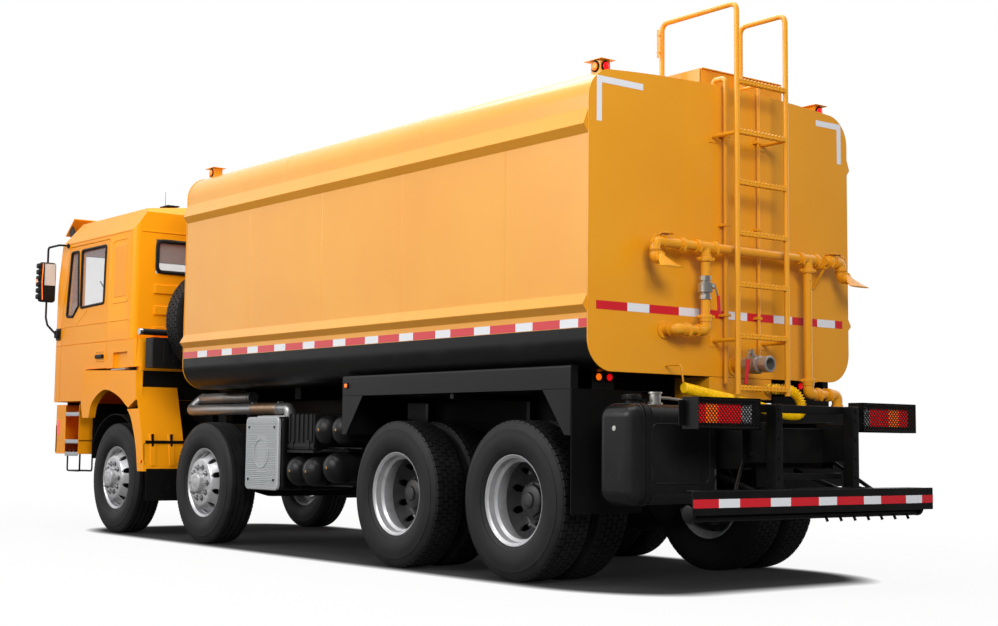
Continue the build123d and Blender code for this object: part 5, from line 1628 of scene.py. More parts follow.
for row in range(7):
    for number in range(10):
        place = (0.755 + row * 0.045, silencer_front + 0.130 + number * 0.038)
        cylinder(shield, (*place, 1.099), (*place, 1.1035), 0.010, 8, 0.0, 0.006)
solid("silencer_shield", shield, guard_silver)

# ---------------------------------------------------------------- battery box and air tanks
# A ribbed black plastic battery cover held by a strap, beside five steel compressed-air tanks with
# domed ends and brass drain plugs, all on a plate against the left rail.
brass = Finish("brass", "bare_steel", tone(190, 150, 90), 0.35, metallic=0.9)
brass.bump(brass.noise(300.0, 2.0), 0.0001)
battery = bmesh.new()
battery_front, battery_rear = -0.055, 0.345
box(battery, (0.4705, battery_front, 0.820), (1.038, battery_rear, 1.111), 0.014, 3)
for number in range(6):
    rib_y = battery_front + 0.028 + number * 0.0685
    box(battery, (0.480, rib_y - 0.010, 0.885), (1.0495, rib_y + 0.010, 1.1145), 0.005, 2)
box(battery, (0.4705, battery_front - 0.001, 0.840), (1.044, battery_rear + 0.001, 0.872), 0.004, 2)
for clip_y in (0.020, 0.270):
    box(battery, (1.040, clip_y - 0.018, 0.836), (1.0495, clip_y + 0.018, 0.900), 0.003)
box(battery, (0.4705, battery_front - 0.004, 0.800), (1.046, battery_rear + 0.004, 0.820), 0.003)
solid("battery_cover", battery, black_plastic, ["battery_box"])
air_black = black_finish("black_air_tank_paint", "black_paint", 0.008, 0.28, 200.0, 0.00006)
AIR_TANKS = ((0.075, 0.654), (0.323, 0.654), (0.633, 0.689), (0.505, 0.983), (0.755, 0.983))
air_form = turned(
    [
        (0.461, 0.0), (0.461, 0.090), (0.490, 0.1165), (0.500, 0.1178), (1.020, 0.1178),
        (1.024, 0.1155), (1.050, 0.108), (1.075, 0.088), (1.090, 0.058), (1.0975, 0.024),
        (1.098, 0.0),
    ],
    56,
    closed=False,
)
air = bmesh.new()
plugs = bmesh.new()
for air_y, air_z in AIR_TANKS:
    gather(air, air_form, Matrix.Translation((0, air_y, air_z)))
    bars(plugs, 1,
        ((1.092, air_y, air_z), "x", 1.0985, 0.012, 6, 0.001),
        ((1.0982, air_y, air_z), "x", 1.0998, 0.007, 12),
    )
    for band_x in (0.62, 0.90):
        bars(air, 1, ((band_x, air_y, air_z), "x", band_x + 0.030, 0.1195, 48, 0.001))
box(air, (0.4305, -0.015, 0.600), (0.470, 0.845, 1.040), 0.003)
for low_y, high_y, shelf_z in ((-0.040, 0.760, 0.552), (0.380, 0.880, 0.848)):
    for band_x in (0.62, 0.90):
        box(air, (band_x - 0.004, low_y, shelf_z - 0.012), (band_x + 0.034, high_y, shelf_z), 0.002)
solid("air_tank_set", air, air_black, ["air_tanks"])
solid("air_tank_plugs", plugs, brass)
lines = bmesh.new()
for start_y, offset in ((0.075, 0.0), (0.323, 0.012), (0.633, 0.024)):
    run = [
        (1.000, start_y + 0.02, 0.790 + offset), (1.000, start_y + 0.10, 0.812 + offset),
        (0.940, 0.700, 0.815 + offset), (0.600, 0.860, 0.830 + offset),
    ]
    tube(lines, run, 0.006, 0.03, 8)
solid("air_lines", lines, flap_rubber)

# ---------------------------------------------------------------- rear mudguards
# Folded black sheet guards over the driven axles, with a turned top flange along the outer edge,
# a gusset at each end, rubber flaps behind and small marker lamps.
guard_paint = black_finish("black_guard_paint", "black_paint", 0.006, 0.32, 30.0, 0.00012, 0.10)
guard_front, guard_rear = 1.038, 3.675
guard_low, guard_high = 1.240, 1.387
guard_outer = 1.220
guards = bmesh.new()
for side in SIDES.values():
    boxes(guards, side,
        ((0.440, guard_front, guard_low - 0.005), (guard_outer, guard_rear, guard_low), 0.0012),
        (
            (guard_outer - 0.005, guard_front, guard_low - 0.002),
            (guard_outer, guard_rear, guard_high - 0.016), 0.002, 2,
        ),
        (
            (guard_outer - 0.045, guard_front, guard_high - 0.005),
            (guard_outer - 0.016, guard_rear, guard_high), 0.002, 2,
        ),
    )
    tube(guards, [
        (guard_outer - 0.0165, guard_front + 0.001, guard_high - 0.0165),
        (guard_outer - 0.0165, guard_rear - 0.001, guard_high - 0.0165),
    ], 0.0163, sides=20, side=side)
    boxes(guards, side, (
        (guard_outer - 0.045, guard_front, guard_high - 0.030),
        (guard_outer - 0.040, guard_rear, guard_high), 0.001,
    ))
    for end_y, inward in ((guard_front, 1), (guard_rear, -1)):
        boxes(guards, side,
            ((0.620, end_y, 0.950), (guard_outer, end_y + inward * 0.005, guard_low), 0.001),
            (
                (1.160, end_y, guard_low - 0.002),
                (guard_outer, end_y + inward * 0.005, guard_high), 0.001,
            ),
        )
        corners = (
            (end_y, guard_low), (end_y + inward * 0.280, guard_low),
            (end_y + inward * 0.060, 0.950), (end_y, 0.950),
        )
        add_slab(guards, corners, side * (guard_outer - 0.005), side * guard_outer)
    for bracket_y in (guard_front + 0.090, 2.375, guard_rear - 0.100):
        boxes(guards, side,
            (
                (0.4303, bracket_y - 0.020, 0.990),
                (0.500, bracket_y + 0.020, guard_low - 0.002), 0.003,
            ),
            (
                (0.500, bracket_y - 0.020, guard_low - 0.045),
                (1.180, bracket_y + 0.020, guard_low - 0.006), 0.003,
            ),
        )
    boxes(guards, side, (
        (0.860, guard_rear - 0.004, guard_low - 0.010),
        (1.045, guard_rear + 0.002, guard_high - 0.010), 0.002,
    ))
    round_lamp((side * 0.999, guard_rear + 0.002, 1.318), (0, 1, 0), "amber", 0.030)
    round_lamp((side * 0.908, guard_rear + 0.002, 1.318), (0, 1, 0), "red", 0.030)
    round_lamp((side * guard_outer, 1.100, 1.312), (side, 0, 0), "amber", 0.022)
solid("mudguard_pair", guards, guard_paint, ["rear_mudguards"])

flaps = bmesh.new()
for side in SIDES.values():
    boxes(flaps, side, (
        (0.620, guard_rear + 0.0004, 0.460), (1.220, guard_rear + 0.0075, 1.240), 0.003,
    ))
    for number in range(5):
        bars(flaps, side, (
            (0.66 + 0.13 * number, guard_rear + 0.007, 0.985), "y", guard_rear + 0.010, 0.010, 8,
            0.001,
        ))
    boxes(flaps, side, ((0.850, -2.2995, 0.330), (1.220, -2.2925, 0.625), 0.003))
    disc = turned([(0.0, 0.058), (0.0025, 0.056), (0.0025, 0.050), (0.0, 0.048)], 40)
    gather(
        flaps, disc,
        Matrix.Translation((side * 1.030, -2.2925, 0.480)) @ Matrix.Rotation(pi / 2, 4, "Z"),
    )
solid("flap_set", flaps, flap_rubber, ["mud_flaps"])

# ---------------------------------------------------------------- front fenders
# Curved orange sheets behind the first axle, each with a side skirt and two pressed ribs. A black
# bar across the back, with two clips, ties each one to the frame.
FENDER_CURVE = ((-2.505, 1.385), (-2.440, 1.180), (-2.352, 0.900), (-2.300, 0.600))


def smooth_curve(points, steps=6):
    """More points on a smooth line that passes through the given ones."""
    spots = [Vector(point) for point in points]
    ends = [2 * spots[0] - spots[1]] + spots + [2 * spots[-1] - spots[-2]]
    line = []
    for before, near, far, after in zip(ends, ends[1:], ends[2:], ends[3:]):
        for step in range(steps):
            t = step / steps
            bend = (2 * near) + (far - before) * t
            bend += (2 * before - 5 * near + 4 * far - after) * t**2
            bend += (3 * near - before - 3 * far + after) * t**3
            line.append(bend / 2)
    return line + [spots[-1]]


fender_line = smooth_curve(FENDER_CURVE)


def fender_band(near, far, top=2.0, bottom=0.0):
    """Outline of a band along the fender's back, between two distances behind its rear face."""
    part = [spot for spot in fender_line if bottom <= spot.y <= top]
    return [(y + far, z) for y, z in part] + [(y + near, z) for y, z in reversed(part)]


fenders = bmesh.new()
fender_clamps = bmesh.new()
for side in SIDES.values():
    edges = [side * 0.830, side * 1.250]
    add_slab(fenders, fender_band(-0.010, 0.0), *edges, 0.003)
    add_slab(fenders, fender_band(-0.034, 0.0), side * 0.830, side * 0.834, 0.001)
    front = smooth_curve(((-2.692, 1.178), (-2.592, 1.075), (-2.485, 0.850), (-2.427, 0.600)))
    back = [(y - 0.006, z) for y, z in fender_line if 0.600 <= z <= 1.180]
    skirt = [(y, z) for y, z in front] + [(y, z) for y, z in reversed(back)]
    add_slab(fenders, skirt, side * 1.240, side * 1.250, 0.004, 3)
    rim_band = [(y, z) for y, z in front] + [(y + 0.014, z - 0.004) for y, z in reversed(front)]
    add_slab(fenders, rim_band, side * 1.205, side * 1.248, 0.002)
    for rib_x in (0.955, 1.145):
        low, high = side * (rib_x - 0.030), side * (rib_x + 0.030)
        add_slab(fenders, fender_band(-0.006, 0.007, 0.950, 0.640), low, high, 0.006, 3)
        low, high = side * (rib_x - 0.011), side * (rib_x + 0.011)
        box(fender_clamps, (low, -2.353, 0.790), (high, -2.330, 0.945), 0.004)
    for rivet_x in (0.87, 0.99, 1.11, 1.22):
        bars(fenders, side, ((rivet_x, -2.302, 0.622), "y", -2.2985, 0.007, 12, 0.001))
    tube(fender_clamps, [
        (0.4303, -2.340, 0.870), (1.215, -2.340, 0.870),
    ], 0.0155, sides=16, side=side)
    tube(fender_clamps, [
        (1.215, -2.330, 0.866), (1.236, -2.328, 0.850), (1.236, -2.318, 0.700),
        (1.228, -2.312, 0.660),
    ], 0.003, 0.02, 8, side=side)
    round_lamp((side * 1.2485, -2.345, 0.690), (side, 0, 0), "amber", 0.014)
liners = bmesh.new()
for side in SIDES.values():
    angles = [radians(38 + 112 * step / 28) for step in range(29)]
    arc = [(axle_places[1] + 0.605 * cos(a), tyre_radius + 0.605 * sin(a)) for a in angles]
    arc += [
        (axle_places[1] + 0.611 * cos(a), tyre_radius + 0.611 * sin(a)) for a in reversed(angles)
    ]
    add_slab(liners, arc, side * 0.470, side * 1.190)
    boxes(liners, side,
        ((0.470, -3.700, 0.700), (1.150, -3.690, 1.245), 0.003),
        ((0.470, -3.690, 1.060), (0.476, -2.450, 1.245), 0.002),
    )
solid("front_arch_liners", liners, flap_rubber)
solid("fender_sheets", fenders, cab_orange, ["front_fenders"])
solid("fender_clamps", fender_clamps, black_paint)


# ---------------------------------------------------------------- running gear
# Forged and fabricated steel under the truck in black chassis paint, dusty low down: frame rails,
# cross members, springs, axles, knuckles, engine and shafts. Edges are broken as on rolled steel.
def merged(node, flat=0.5):
    """A copy of a carried-over node as one closed form, its flat facets joined."""
    shape = bmesh.new()
    shape.from_mesh(nodes[node].data)
    bmesh.ops.remove_doubles(shape, verts=shape.verts, dist=0.00002)
    bmesh.ops.dissolve_limit(shape, angle_limit=radians(flat), verts=shape.verts, edges=shape.edges)
    return shape


def softened(node, width, sharper_than=30.0, segments=2):
    """A merged copy of a node with every sharp edge rounded."""
    shape = merged(node)
    round_edges(shape, width, sharper_than, segments)
    return shape


under_black = black_finish("black_underbody", "black_paint", 0.004, 0.55, 90.0, 0.0002, 0.3)
for node, width in (
    ("chassis_frame", 0.004), ("leaf_springs", 0.003), ("front_axle_beams", 0.006),
    ("rear_axle_housings", 0.006), ("powertrain", 0.010), ("tank_saddles", 0.004),
    ("cab_mounts", 0.003),
):
    solid(f"{node}_painted", softened(node, width), under_black, [node])
for number in (1, 2):
    for side_name in SIDES:
        node = f"knuckle_{number}_{side_name}"
        solid(f"{node}_forged", softened(node, 0.006), under_black, [node], f"{node}_body")
running = bmesh.new()
for side in SIDES.values():
    for axle_y in (axle_places[1], axle_places[2]):
        for bolt_y in (-0.055, 0.055):
            for bolt_x in (0.350, 0.420):
                tube(running, [
                    (bolt_x, axle_y + bolt_y, 0.545), (bolt_x, axle_y + bolt_y, 0.668),
                ], 0.009, sides=10, side=side)
for axle_y in (axle_places[3], axle_places[4]):
    cover = turned([
        (0.200, 0.0), (0.200, 0.150), (0.212, 0.150), (0.222, 0.130), (0.235, 0.070), (0.238, 0.0),
    ], 40, closed=False)
    gather(
        running, cover,
        Matrix.Translation((0, axle_y - 0.02, tyre_radius)) @ Matrix.Rotation(pi / 2, 4, "Z"),
    )
    for side in SIDES.values():
        tube(running, [
            (0.52, axle_y + 0.02, 0.640), (0.40, axle_y + 0.16, 0.700),
            (0.39, axle_y + 0.20, 0.780),
        ], 0.012, 0.04, 10, side=side)
solid("running_gear_fittings", running, under_black)

# ---------------------------------------------------------------- behind the cab
# The moulded black air-intake box on its legs, a steel tube with a bright end across it, and the
# spare wheel on a bolted carrier.
intake = softened("air_intake_box", 0.012, 40.0, 3)
for number in range(9):
    slot_x = 0.24 + 0.10 * number
    for side in SIDES.values():
        boxes(intake, side, ((slot_x, -2.277, 1.600), (slot_x + 0.055, -2.2705, 1.800), 0.003))
box(intake, (1.1985, -2.420, 1.585), (1.2035, -2.290, 1.815), 0.002)
solid("air_intake_moulding", intake, black_plastic, ["air_intake_box"])
tube_ends = bmesh.new()
for side in SIDES.values():
    bars(tube_ends, side, ((1.225, -2.470, 1.900), "x", 1.2545, 0.0325, 28, 0.004))
solid("cross_tube_ends", tube_ends, bright_steel)
spare_turn = Matrix.Translation((0.610, -2.065, 2.000)) @ Matrix.Rotation(pi / 2, 4, "Z")
spare_tyre = bmesh.new()
gather(spare_tyre, block_tyre, spare_turn)
solid("spare_tyre", spare_tyre, rubber, ["spare_wheel"])
spare_rim = bmesh.new()
gather(spare_rim, rim_barrel, spare_turn)
gather(spare_rim, rear_disc, spare_turn @ Matrix.Translation((0.010, 0, 0)))
solid("spare_rim", spare_rim, silver_paint)
carrier = bmesh.new()
for side in SIDES.values():
    boxes(carrier, side, ((0.355, -1.875, 1.0503), (0.425, -1.805, 2.150), 0.004))
box(carrier, (-0.425, -1.865, 1.900), (0.690, -1.815, 2.100), 0.005)
bars(carrier, 1,
    ((0.610, -2.062, 2.000), "y", -1.835, 0.050, 28, 0.004),
    ((0.610, -2.040, 2.000), "y", -2.030, 0.175, 40, 0.003),
)
for bolt_x, bolt_z in round_about((0.610, 2.000), 0.080, 4, 0.5):
    bars(carrier, 1, ((bolt_x, -1.816, bolt_z), "y", -1.806, 0.014, 6, 0.001))
solid("spare_carrier", carrier, black_paint)

# ---------------------------------------------------------------- cab shell and doors
# A welded steel cab in gloss orange with plug doors. Its panels carry a pressed frame behind the
# door, a belt crease, a shut line, ribs across the back wall and a pocket with a step plate.
cab_back = -2.655
cab_half = 1.245


def side_grooves(cutter, side):
    """Adds the cutters of a cab side's shut line and pocket."""
    boxes(cutter, side, ((cab_half - 0.006, -4.50, 1.8375), (cab_half + 0.01, -2.40, 1.8425)))


shell = merged("cab_shell")
cutter = bmesh.new()
for side in SIDES.values():
    side_grooves(cutter, side)
    boxes(cutter, side, (
        (cab_half - 0.034, -3.060, 1.560), (cab_half + 0.01, -2.735, 1.725), 0.012, 2,
    ))
box(cutter, (-1.165, cab_back - 0.006, 2.868), (1.165, cab_back + 0.01, 2.873))
arch = smooth_curve(
    ((-3.537, 1.085), (-3.455, 1.250), (-3.185, 1.367), (-2.875, 1.310), (-2.622, 1.186))
)
for side in SIDES.values():
    add_slab(
        cutter, [(y, z) for y, z in arch] + [(-2.622, 1.02), (-3.537, 1.02)], side * 1.150,
        side * 1.300,
    )
shell = carve(shell, cutter)
roof_edges = [
    edge
    for edge in shell.edges
    if len(edge.link_faces) == 2 and edge.calc_face_angle(0.0) > radians(12) and all(
        v.co.z > 2.86 for v in edge.verts
    )
]
bmesh.ops.bevel(
    shell, geom=roof_edges, offset=0.034, segments=5, profile=0.5, affect="EDGES",
    clamp_overlap=True,
)
round_edges(shell, 0.009, 34, 3)
solid("cab_shell_pressed", shell, cab_orange, ["cab_shell"], "cab", 32)
pressings = bmesh.new()
for side in SIDES.values():
    hoop(
        pressings,
        [
            (side * (cab_half - 0.004), y, z)
            for y, z in ((-3.135, 2.205), (-2.750, 2.205), (-2.750, 2.815), (-3.135, 2.815))
        ],
        0.060, 0.0085,
    )
    boxes(pressings, side, (
        (cab_half - 0.004, -3.080, 2.260), (cab_half + 0.004, -2.805, 2.760), 0.0035, 3,
    ))
    tube(pressings, [
        (cab_half - 0.004, -3.180, 2.030), (cab_half - 0.004, -2.725, 2.030),
    ], 0.0075, sides=12, side=side)
    boxes(pressings, side, (
        (cab_half - 0.004, -4.330, 2.880), (cab_half + 0.0045, -2.735, 2.893), 0.003, 2,
    ))
for low_z, high_z in ((2.285, 2.375), (2.080, 2.170), (1.880, 1.970)):
    box(pressings, (-1.030, cab_back - 0.004, low_z), (1.030, cab_back + 0.014, high_z), 0.016, 4)
box(pressings, (-1.165, cab_back - 0.004, 2.874), (1.165, cab_back + 0.004, 2.890), 0.003, 2)
solid("cab_pressings", pressings, cab_orange, (), "cab", 40)
ledges = bmesh.new()
for side in SIDES.values():
    boxes(ledges, side, ((1.205, -3.055, 1.552), (1.262, -2.740, 1.564), 0.003))
solid("pocket_step_plates", ledges, nickel, (), "cab")

# Door glass outlines in Y and Z: fixed quarter light and main window
DOOR_PANES = (
    ((-4.212, 2.137), (-4.058, 2.128), (-3.920, 2.231), (-3.956, 2.790), (-4.125, 2.790)),
    ((-3.868, 2.208), (-3.308, 2.222), (-3.286, 2.790), (-3.868, 2.790)),
)
glass = Finish(
    "window_glass", "window_glass", tone(238, 241, 243), 0.03, alpha=0.16, specular_ior_level=0.9
)
glass.set("Roughness", glass.noise(3.0, 2.0) * 0.02 + 0.02)
gasket = black_finish("black_window_rubber", "black_plastic", 0.008, 0.45, 300.0, 0.0001)
for side_name, side in SIDES.items():
    body = f"{side_name}_door"
    door = merged(f"door_{side_name}")
    cutter = bmesh.new()
    side_grooves(cutter, side)
    door = carve(door, cutter)
    round_edges(door, 0.005, 40, 2)
    solid(f"door_{side_name}_pressed", door, cab_orange, [f"door_{side_name}"], body, 32)
    creases = bmesh.new()
    tube(creases, [
        (cab_half - 0.003, -3.225, 2.030), (cab_half - 0.003, -3.990, 2.030),
        (cab_half - 0.003, -4.325, 2.030),
    ], 0.0075, sides=12, side=side)
    tube(creases, [
        (cab_half - 0.003, -3.690, 2.180), (cab_half - 0.003, -3.990, 2.030),
    ], 0.0065, sides=12, side=side)
    solid(f"door_{side_name}_creases", creases, cab_orange, (), body, 40)
    trim = bmesh.new()
    for pane in DOOR_PANES:
        hoop(trim, [(side * (cab_half + 0.001), y, z) for y, z in pane], 0.030, 0.0135)
    boxes(trim, side,
        ((cab_half + 0.004, -3.425, 1.678), (cab_half + 0.030, -3.262, 1.716), 0.010, 3),
        ((cab_half, -3.400, 1.684), (cab_half + 0.010, -3.370, 1.710), 0.002),
    )
    bars(trim, side, ((cab_half, -3.285, 1.697), "x", cab_half + 0.024, 0.016, 20, 0.002))
    solid(f"door_{side_name}_rubber", trim, gasket, (), body)
    cup = bmesh.new()
    hoop(
        cup,
        [
            (side * cab_half, y, z)
            for y, z in ((-3.445, 1.650), (-3.245, 1.650), (-3.245, 1.745), (-3.445, 1.745))
        ],
        0.025, 0.006,
    )
    solid(f"door_{side_name}_cup", cup, cab_orange, (), body)
    pane_shape = merged(f"door_glass_{side_name}")
    solid(f"door_{side_name}_glass", pane_shape, glass, [f"door_glass_{side_name}"], body)
solid("cab_windows", merged("cab_glass"), glass, ["cab_glass"], "cab")
trim = bmesh.new()
rear_outline = ((-1.005, 2.495), (1.005, 2.495), (1.005, 2.795), (-1.005, 2.795))
hoop(trim, [(x, cab_back, z) for x, z in rear_outline], 0.060, 0.020)
box(trim, (-0.012, cab_back - 0.018, 2.490), (0.012, cab_back + 0.004, 2.800), 0.004)
screen_corners = []
for x, along in ((-1.03, -0.5), (1.03, -0.5), (1.03, 0.5), (-1.03, 0.5)):
    down = Vector((0, 0.200, 0.940)).normalized() * 0.8 * along
    screen_corners.append((x, -4.475 + down.y - 0.003, 2.420 + down.z))
hoop(trim, screen_corners, 0.060, 0.016)
for pivot in (-0.55, 0.35):
    foot = Vector((pivot, -4.583, 2.000))
    tip = foot + Vector((0.42, 0.125, 0.50))
    tube(trim, [
        foot, foot + Vector((0.06, 0.005, 0.09)), foot.lerp(tip, 0.55) + Vector((0, -0.012, 0)),
    ], 0.007, 0.03, 10)
    tube(trim, [
        foot.lerp(tip, 0.12) + Vector((0, -0.006, 0)), tip + Vector((0.02, -0.006, 0.06)),
    ], 0.008, sides=10)
    cylinder(trim, foot + Vector((0, 0.012, 0)), foot + Vector((0, -0.010, 0)), 0.016, 20, 0.002)
# A black sheet across the low back wall of the cab: painted shade behind the cab.
box(trim, (-1.200, -2.541, 1.270), (1.200, -2.531, 1.540), 0.003)
solid("cab_rubber_trim_and_shade_sheet", trim, gasket, (), "cab")

# ---------------------------------------------------------------- cab roof, visor and mirrors
# An orange steel sun visor on black side arms, moulded black mirrors on bent tube arms, a whip
# aerial and a black vent cover on the roof.
visor = softened("sun_visor", 0.003, 40)
solid("visor_blade", visor, cab_orange, ["sun_visor"], "cab")
mirror_black = bmesh.new()
mirror_face = bmesh.new()
stripe = bmesh.new()
mirror_y = -4.525
wall_x, arm_x = cab_half + 0.0003, 1.345
for side in SIDES.values():
    add_slab(mirror_black, (
        (-4.560, 3.060), (-4.480, 3.118), (-4.405, 3.040), (-4.385, 2.925), (-4.470, 2.930),
    ), side * 1.100, side * 1.112, 0.004)
    tube(mirror_black, [
        (wall_x, -4.225, 2.872), (arm_x, -4.225, 2.872), (arm_x, mirror_y, 2.872),
        (arm_x, mirror_y, 2.700),
    ], 0.011, 0.040, 16, side=side)
    bars(mirror_black, side, ((wall_x, -4.225, 2.872), "x", wall_x + 0.014, 0.026, 24, 0.003))
    tube(mirror_black, [
        (wall_x + 0.035, -4.405, 1.965), (arm_x, -4.475, 2.060), (arm_x, mirror_y, 2.140),
        (arm_x, mirror_y, 2.320),
    ], 0.011, 0.030, 16, side=side)
    boxes(mirror_black, side,
        ((wall_x, -4.445, 1.925), (wall_x + 0.040, -4.365, 2.005), 0.012, 3),
        ((wall_x, -4.460, 1.905), (wall_x + 0.012, -4.350, 2.025), 0.005, 2),
        ((1.256, mirror_y - 0.053, 2.302), (1.430, mirror_y + 0.030, 2.718), 0.030, 5),
    )
    for number in range(6):
        rib_z = 2.330 + number * 0.064
        boxes(mirror_black, side, (
            (1.400, mirror_y - 0.046, rib_z), (1.453, mirror_y + 0.024, rib_z + 0.052), 0.014, 3,
        ))
    boxes(mirror_face, side, (
        (1.272, mirror_y + 0.026, 2.475), (1.385, mirror_y + 0.0335, 2.700), 0.0035, 2,
    ))
    boxes(mirror_black, side, (
        (1.280, mirror_y + 0.024, 2.335), (1.388, mirror_y + 0.0335, 2.445), 0.004, 2,
    ))
    tube(stripe, [
        (1.404, mirror_y + 0.030, 2.700), (1.412, mirror_y + 0.031, 2.500),
        (1.402, mirror_y + 0.030, 2.322),
    ], 0.0045, 0.10, 8, side=side)
    boxes(stripe, side, (
        (1.4505, mirror_y - 0.020, 2.500), (1.4555, mirror_y + 0.005, 2.535), 0.001,
    ))
solid("mirror_bodies", mirror_black, black_plastic, ["mirrors"], "cab")
# Mirror glass as a pale grey, barely metallic finish: a painted reflection of the bright surround,
# with a little real gloss on top.
mirror_painted_reflection = Finish("mirror_painted_reflection", "window_glass", tone(216, 221, 224), 0.04, metallic=0.25)
mirror_painted_reflection.set("Roughness", mirror_painted_reflection.noise(4.0, 2.0) * 0.03 + 0.02)
solid("mirror_faces", mirror_face, mirror_painted_reflection, (), "cab")
solid("mirror_stripes", stripe, amber_lens, (), "cab")
aerial = bmesh.new()
bars(aerial, 1,
    ((0.800, -2.945, 3.142), "z", 3.165, 0.014, 20, 0.002),
    ((0.800, -2.945, 3.160), "z", 3.330, 0.0028, 8, 0.0, 0.0018),
)
box(aerial, (0.735, -2.935, 3.160), (0.865, -2.760, 3.172), 0.004, 2)
for foot_y in (-2.905, -2.790):
    box(aerial, (0.775, foot_y - 0.012, 3.120), (0.825, foot_y + 0.012, 3.162), 0.002)
solid("roof_fittings", aerial, black_plastic, (), "cab")

# ---------------------------------------------------------------- front panel
# A black moulded front panel with louvres under the windscreen, and a plain grab rail.
grille_plastic = black_finish("satin_grille_plastic", "black_plastic", 0.020, 0.30, 500.0, 0.0001)
front_panel = bmesh.new()
box(front_panel, (-1.050, -4.584, 1.150), (1.050, -4.5753, 1.900), 0.003, 2)
for low_x, high_x in ((-1.050, -0.985), (0.985, 1.050), (-0.030, 0.030)):
    box(front_panel, (low_x, -4.5945, 1.150), (high_x, -4.578, 1.900), 0.005, 2)
for low_z, high_z in ((1.150, 1.215), (1.795, 1.900)):
    box(front_panel, (-1.050, -4.5945, low_z), (1.050, -4.578, high_z), 0.005, 2)
for number in range(8):
    slat_z = 1.240 + number * 0.070
    for low_x, high_x in ((-0.990, -0.025), (0.025, 0.990)):
        box(front_panel, (low_x, -4.5942, slat_z), (high_x, -4.580, slat_z + 0.022), 0.005, 2)
solid("front_panel_moulding", front_panel, grille_plastic, ["front_grille"], "cab")

# ---------------------------------------------------------------- front bumper and steps
# A bent steel bumper in cab colour with headlamps let into it, running back into the step boxes.
# The steps have ribbed aluminium treads, and a bent rod hangs below as the lowest step.
tread_silver = Finish("tread_aluminium", "silver_paint", tone(190, 192, 195), 0.35, metallic=0.85)
tread_silver.bump((tread_silver.axis("Y") * 700.0).math("SINE"), 0.0008)
bumper_radius = (1.225**2 + 0.180**2) / (2 * 0.180)


def bumper_line(x, inwards=0.0):
    """The bumper's front face at an X: how far forward its arc stands."""
    return -4.635 + inwards + bumper_radius - (bumper_radius**2 - x**2) ** 0.5


def prism(points, z_from, z_to, bevel=0.0, segments=2):
    """An upright form with an outline in X and Y, between two heights."""
    outline = [(x, y, z_from) for x, y in points]
    return drawn_out(outline, (0, 0, z_to - z_from), bevel, 30, segments)


bumper_steps = [-1.225 + 2.45 * step / 40 for step in range(41)]
bumper_outline = [(x, bumper_line(x)) for x in bumper_steps]
bumper_outline += [(x, bumper_line(x, 0.060)) for x in reversed(bumper_steps)]
front = bmesh.new()
beam = prism(bumper_outline, 0.620, 1.040, 0.014, 4)
cutter = bmesh.new()
for side in SIDES.values():
    boxes(cutter, side,
        ((0.660, -4.700, 0.800), (1.120, bumper_line(1.12) + 0.035, 0.985), 0.020, 3),
        ((0.600, -4.750, 0.550), (1.400, -4.250, 0.752)),
    )
    bars(cutter, side, ((0.110, -4.700, 0.740), "y", -4.500, 0.0035, 16))
box(cutter, (-0.520, -4.700, 0.845), (0.520, -4.600, 0.985), 0.020, 3)
beam = carve(beam, cutter)
gather(front, beam)
step_skin, step_liner = 1.225, 0.980
treads = bmesh.new()
step_rods = bmesh.new()
reflectors = bmesh.new()
for side in SIDES.values():
    boxes(front, side,
        ((0.350, -4.585, 0.800), (0.425, -4.3653, 1.000), 0.003),
        ((step_liner, -4.435, 0.755), (step_liner + 0.006, -3.855, 1.237), 0.002),
        ((step_skin, -4.435, 0.755), (step_skin - 0.010, -4.205, 1.237), 0.004, 2),
        ((step_liner, -4.435, 0.755), (step_skin, -4.425, 1.237), 0.002),
        ((step_liner, -3.862, 0.755), (step_skin, -3.855, 1.237), 0.002),
    )
    for tread_z in (0.760, 0.885, 1.160):
        boxes(front, side, (
            (step_liner, -4.435, tread_z - 0.020), (step_skin, -3.855, tread_z - 0.003), 0.003,
        ))
        boxes(treads, side,
            ((1.020, -4.190, tread_z - 0.004), (1.224, -3.870, tread_z), 0.0015),
            ((1.2185, -4.190, tread_z - 0.040), (1.2265, -3.870, tread_z), 0.003, 2),
        )
    boxes(reflectors, side, ((1.2245, -4.395, 0.930), (1.2275, -4.340, 1.080), 0.001))
    for rod_x in (1.060, 1.190):
        tube(step_rods, [
            (rod_x, -4.195, 0.745), (rod_x, -4.195, 0.572), (rod_x, -3.885, 0.572),
            (rod_x, -3.885, 0.745),
        ], 0.0088, 0.030, 14, side=side)
    boxes(step_rods, side, ((1.050, -4.180, 0.566), (1.200, -3.900, 0.580), 0.003))
    for bolt_y in (-4.16, -4.06, -3.96):
        bars(step_rods, side, ((1.2255, bolt_y, 0.775), "x", 1.2265, 0.012, 14))
solid("front_bumper_bent", front, cab_orange, ["front_bumper"])
solid("step_treads", treads, tread_silver)
solid("step_rods", step_rods, black_paint)
# The red reflectors take the red lens finish, whose emission makes them glow though they are no
# lamp: painted light.
solid("step_reflectors", reflectors, red_lens)
head_black = bmesh.new()
head_bright = bmesh.new()
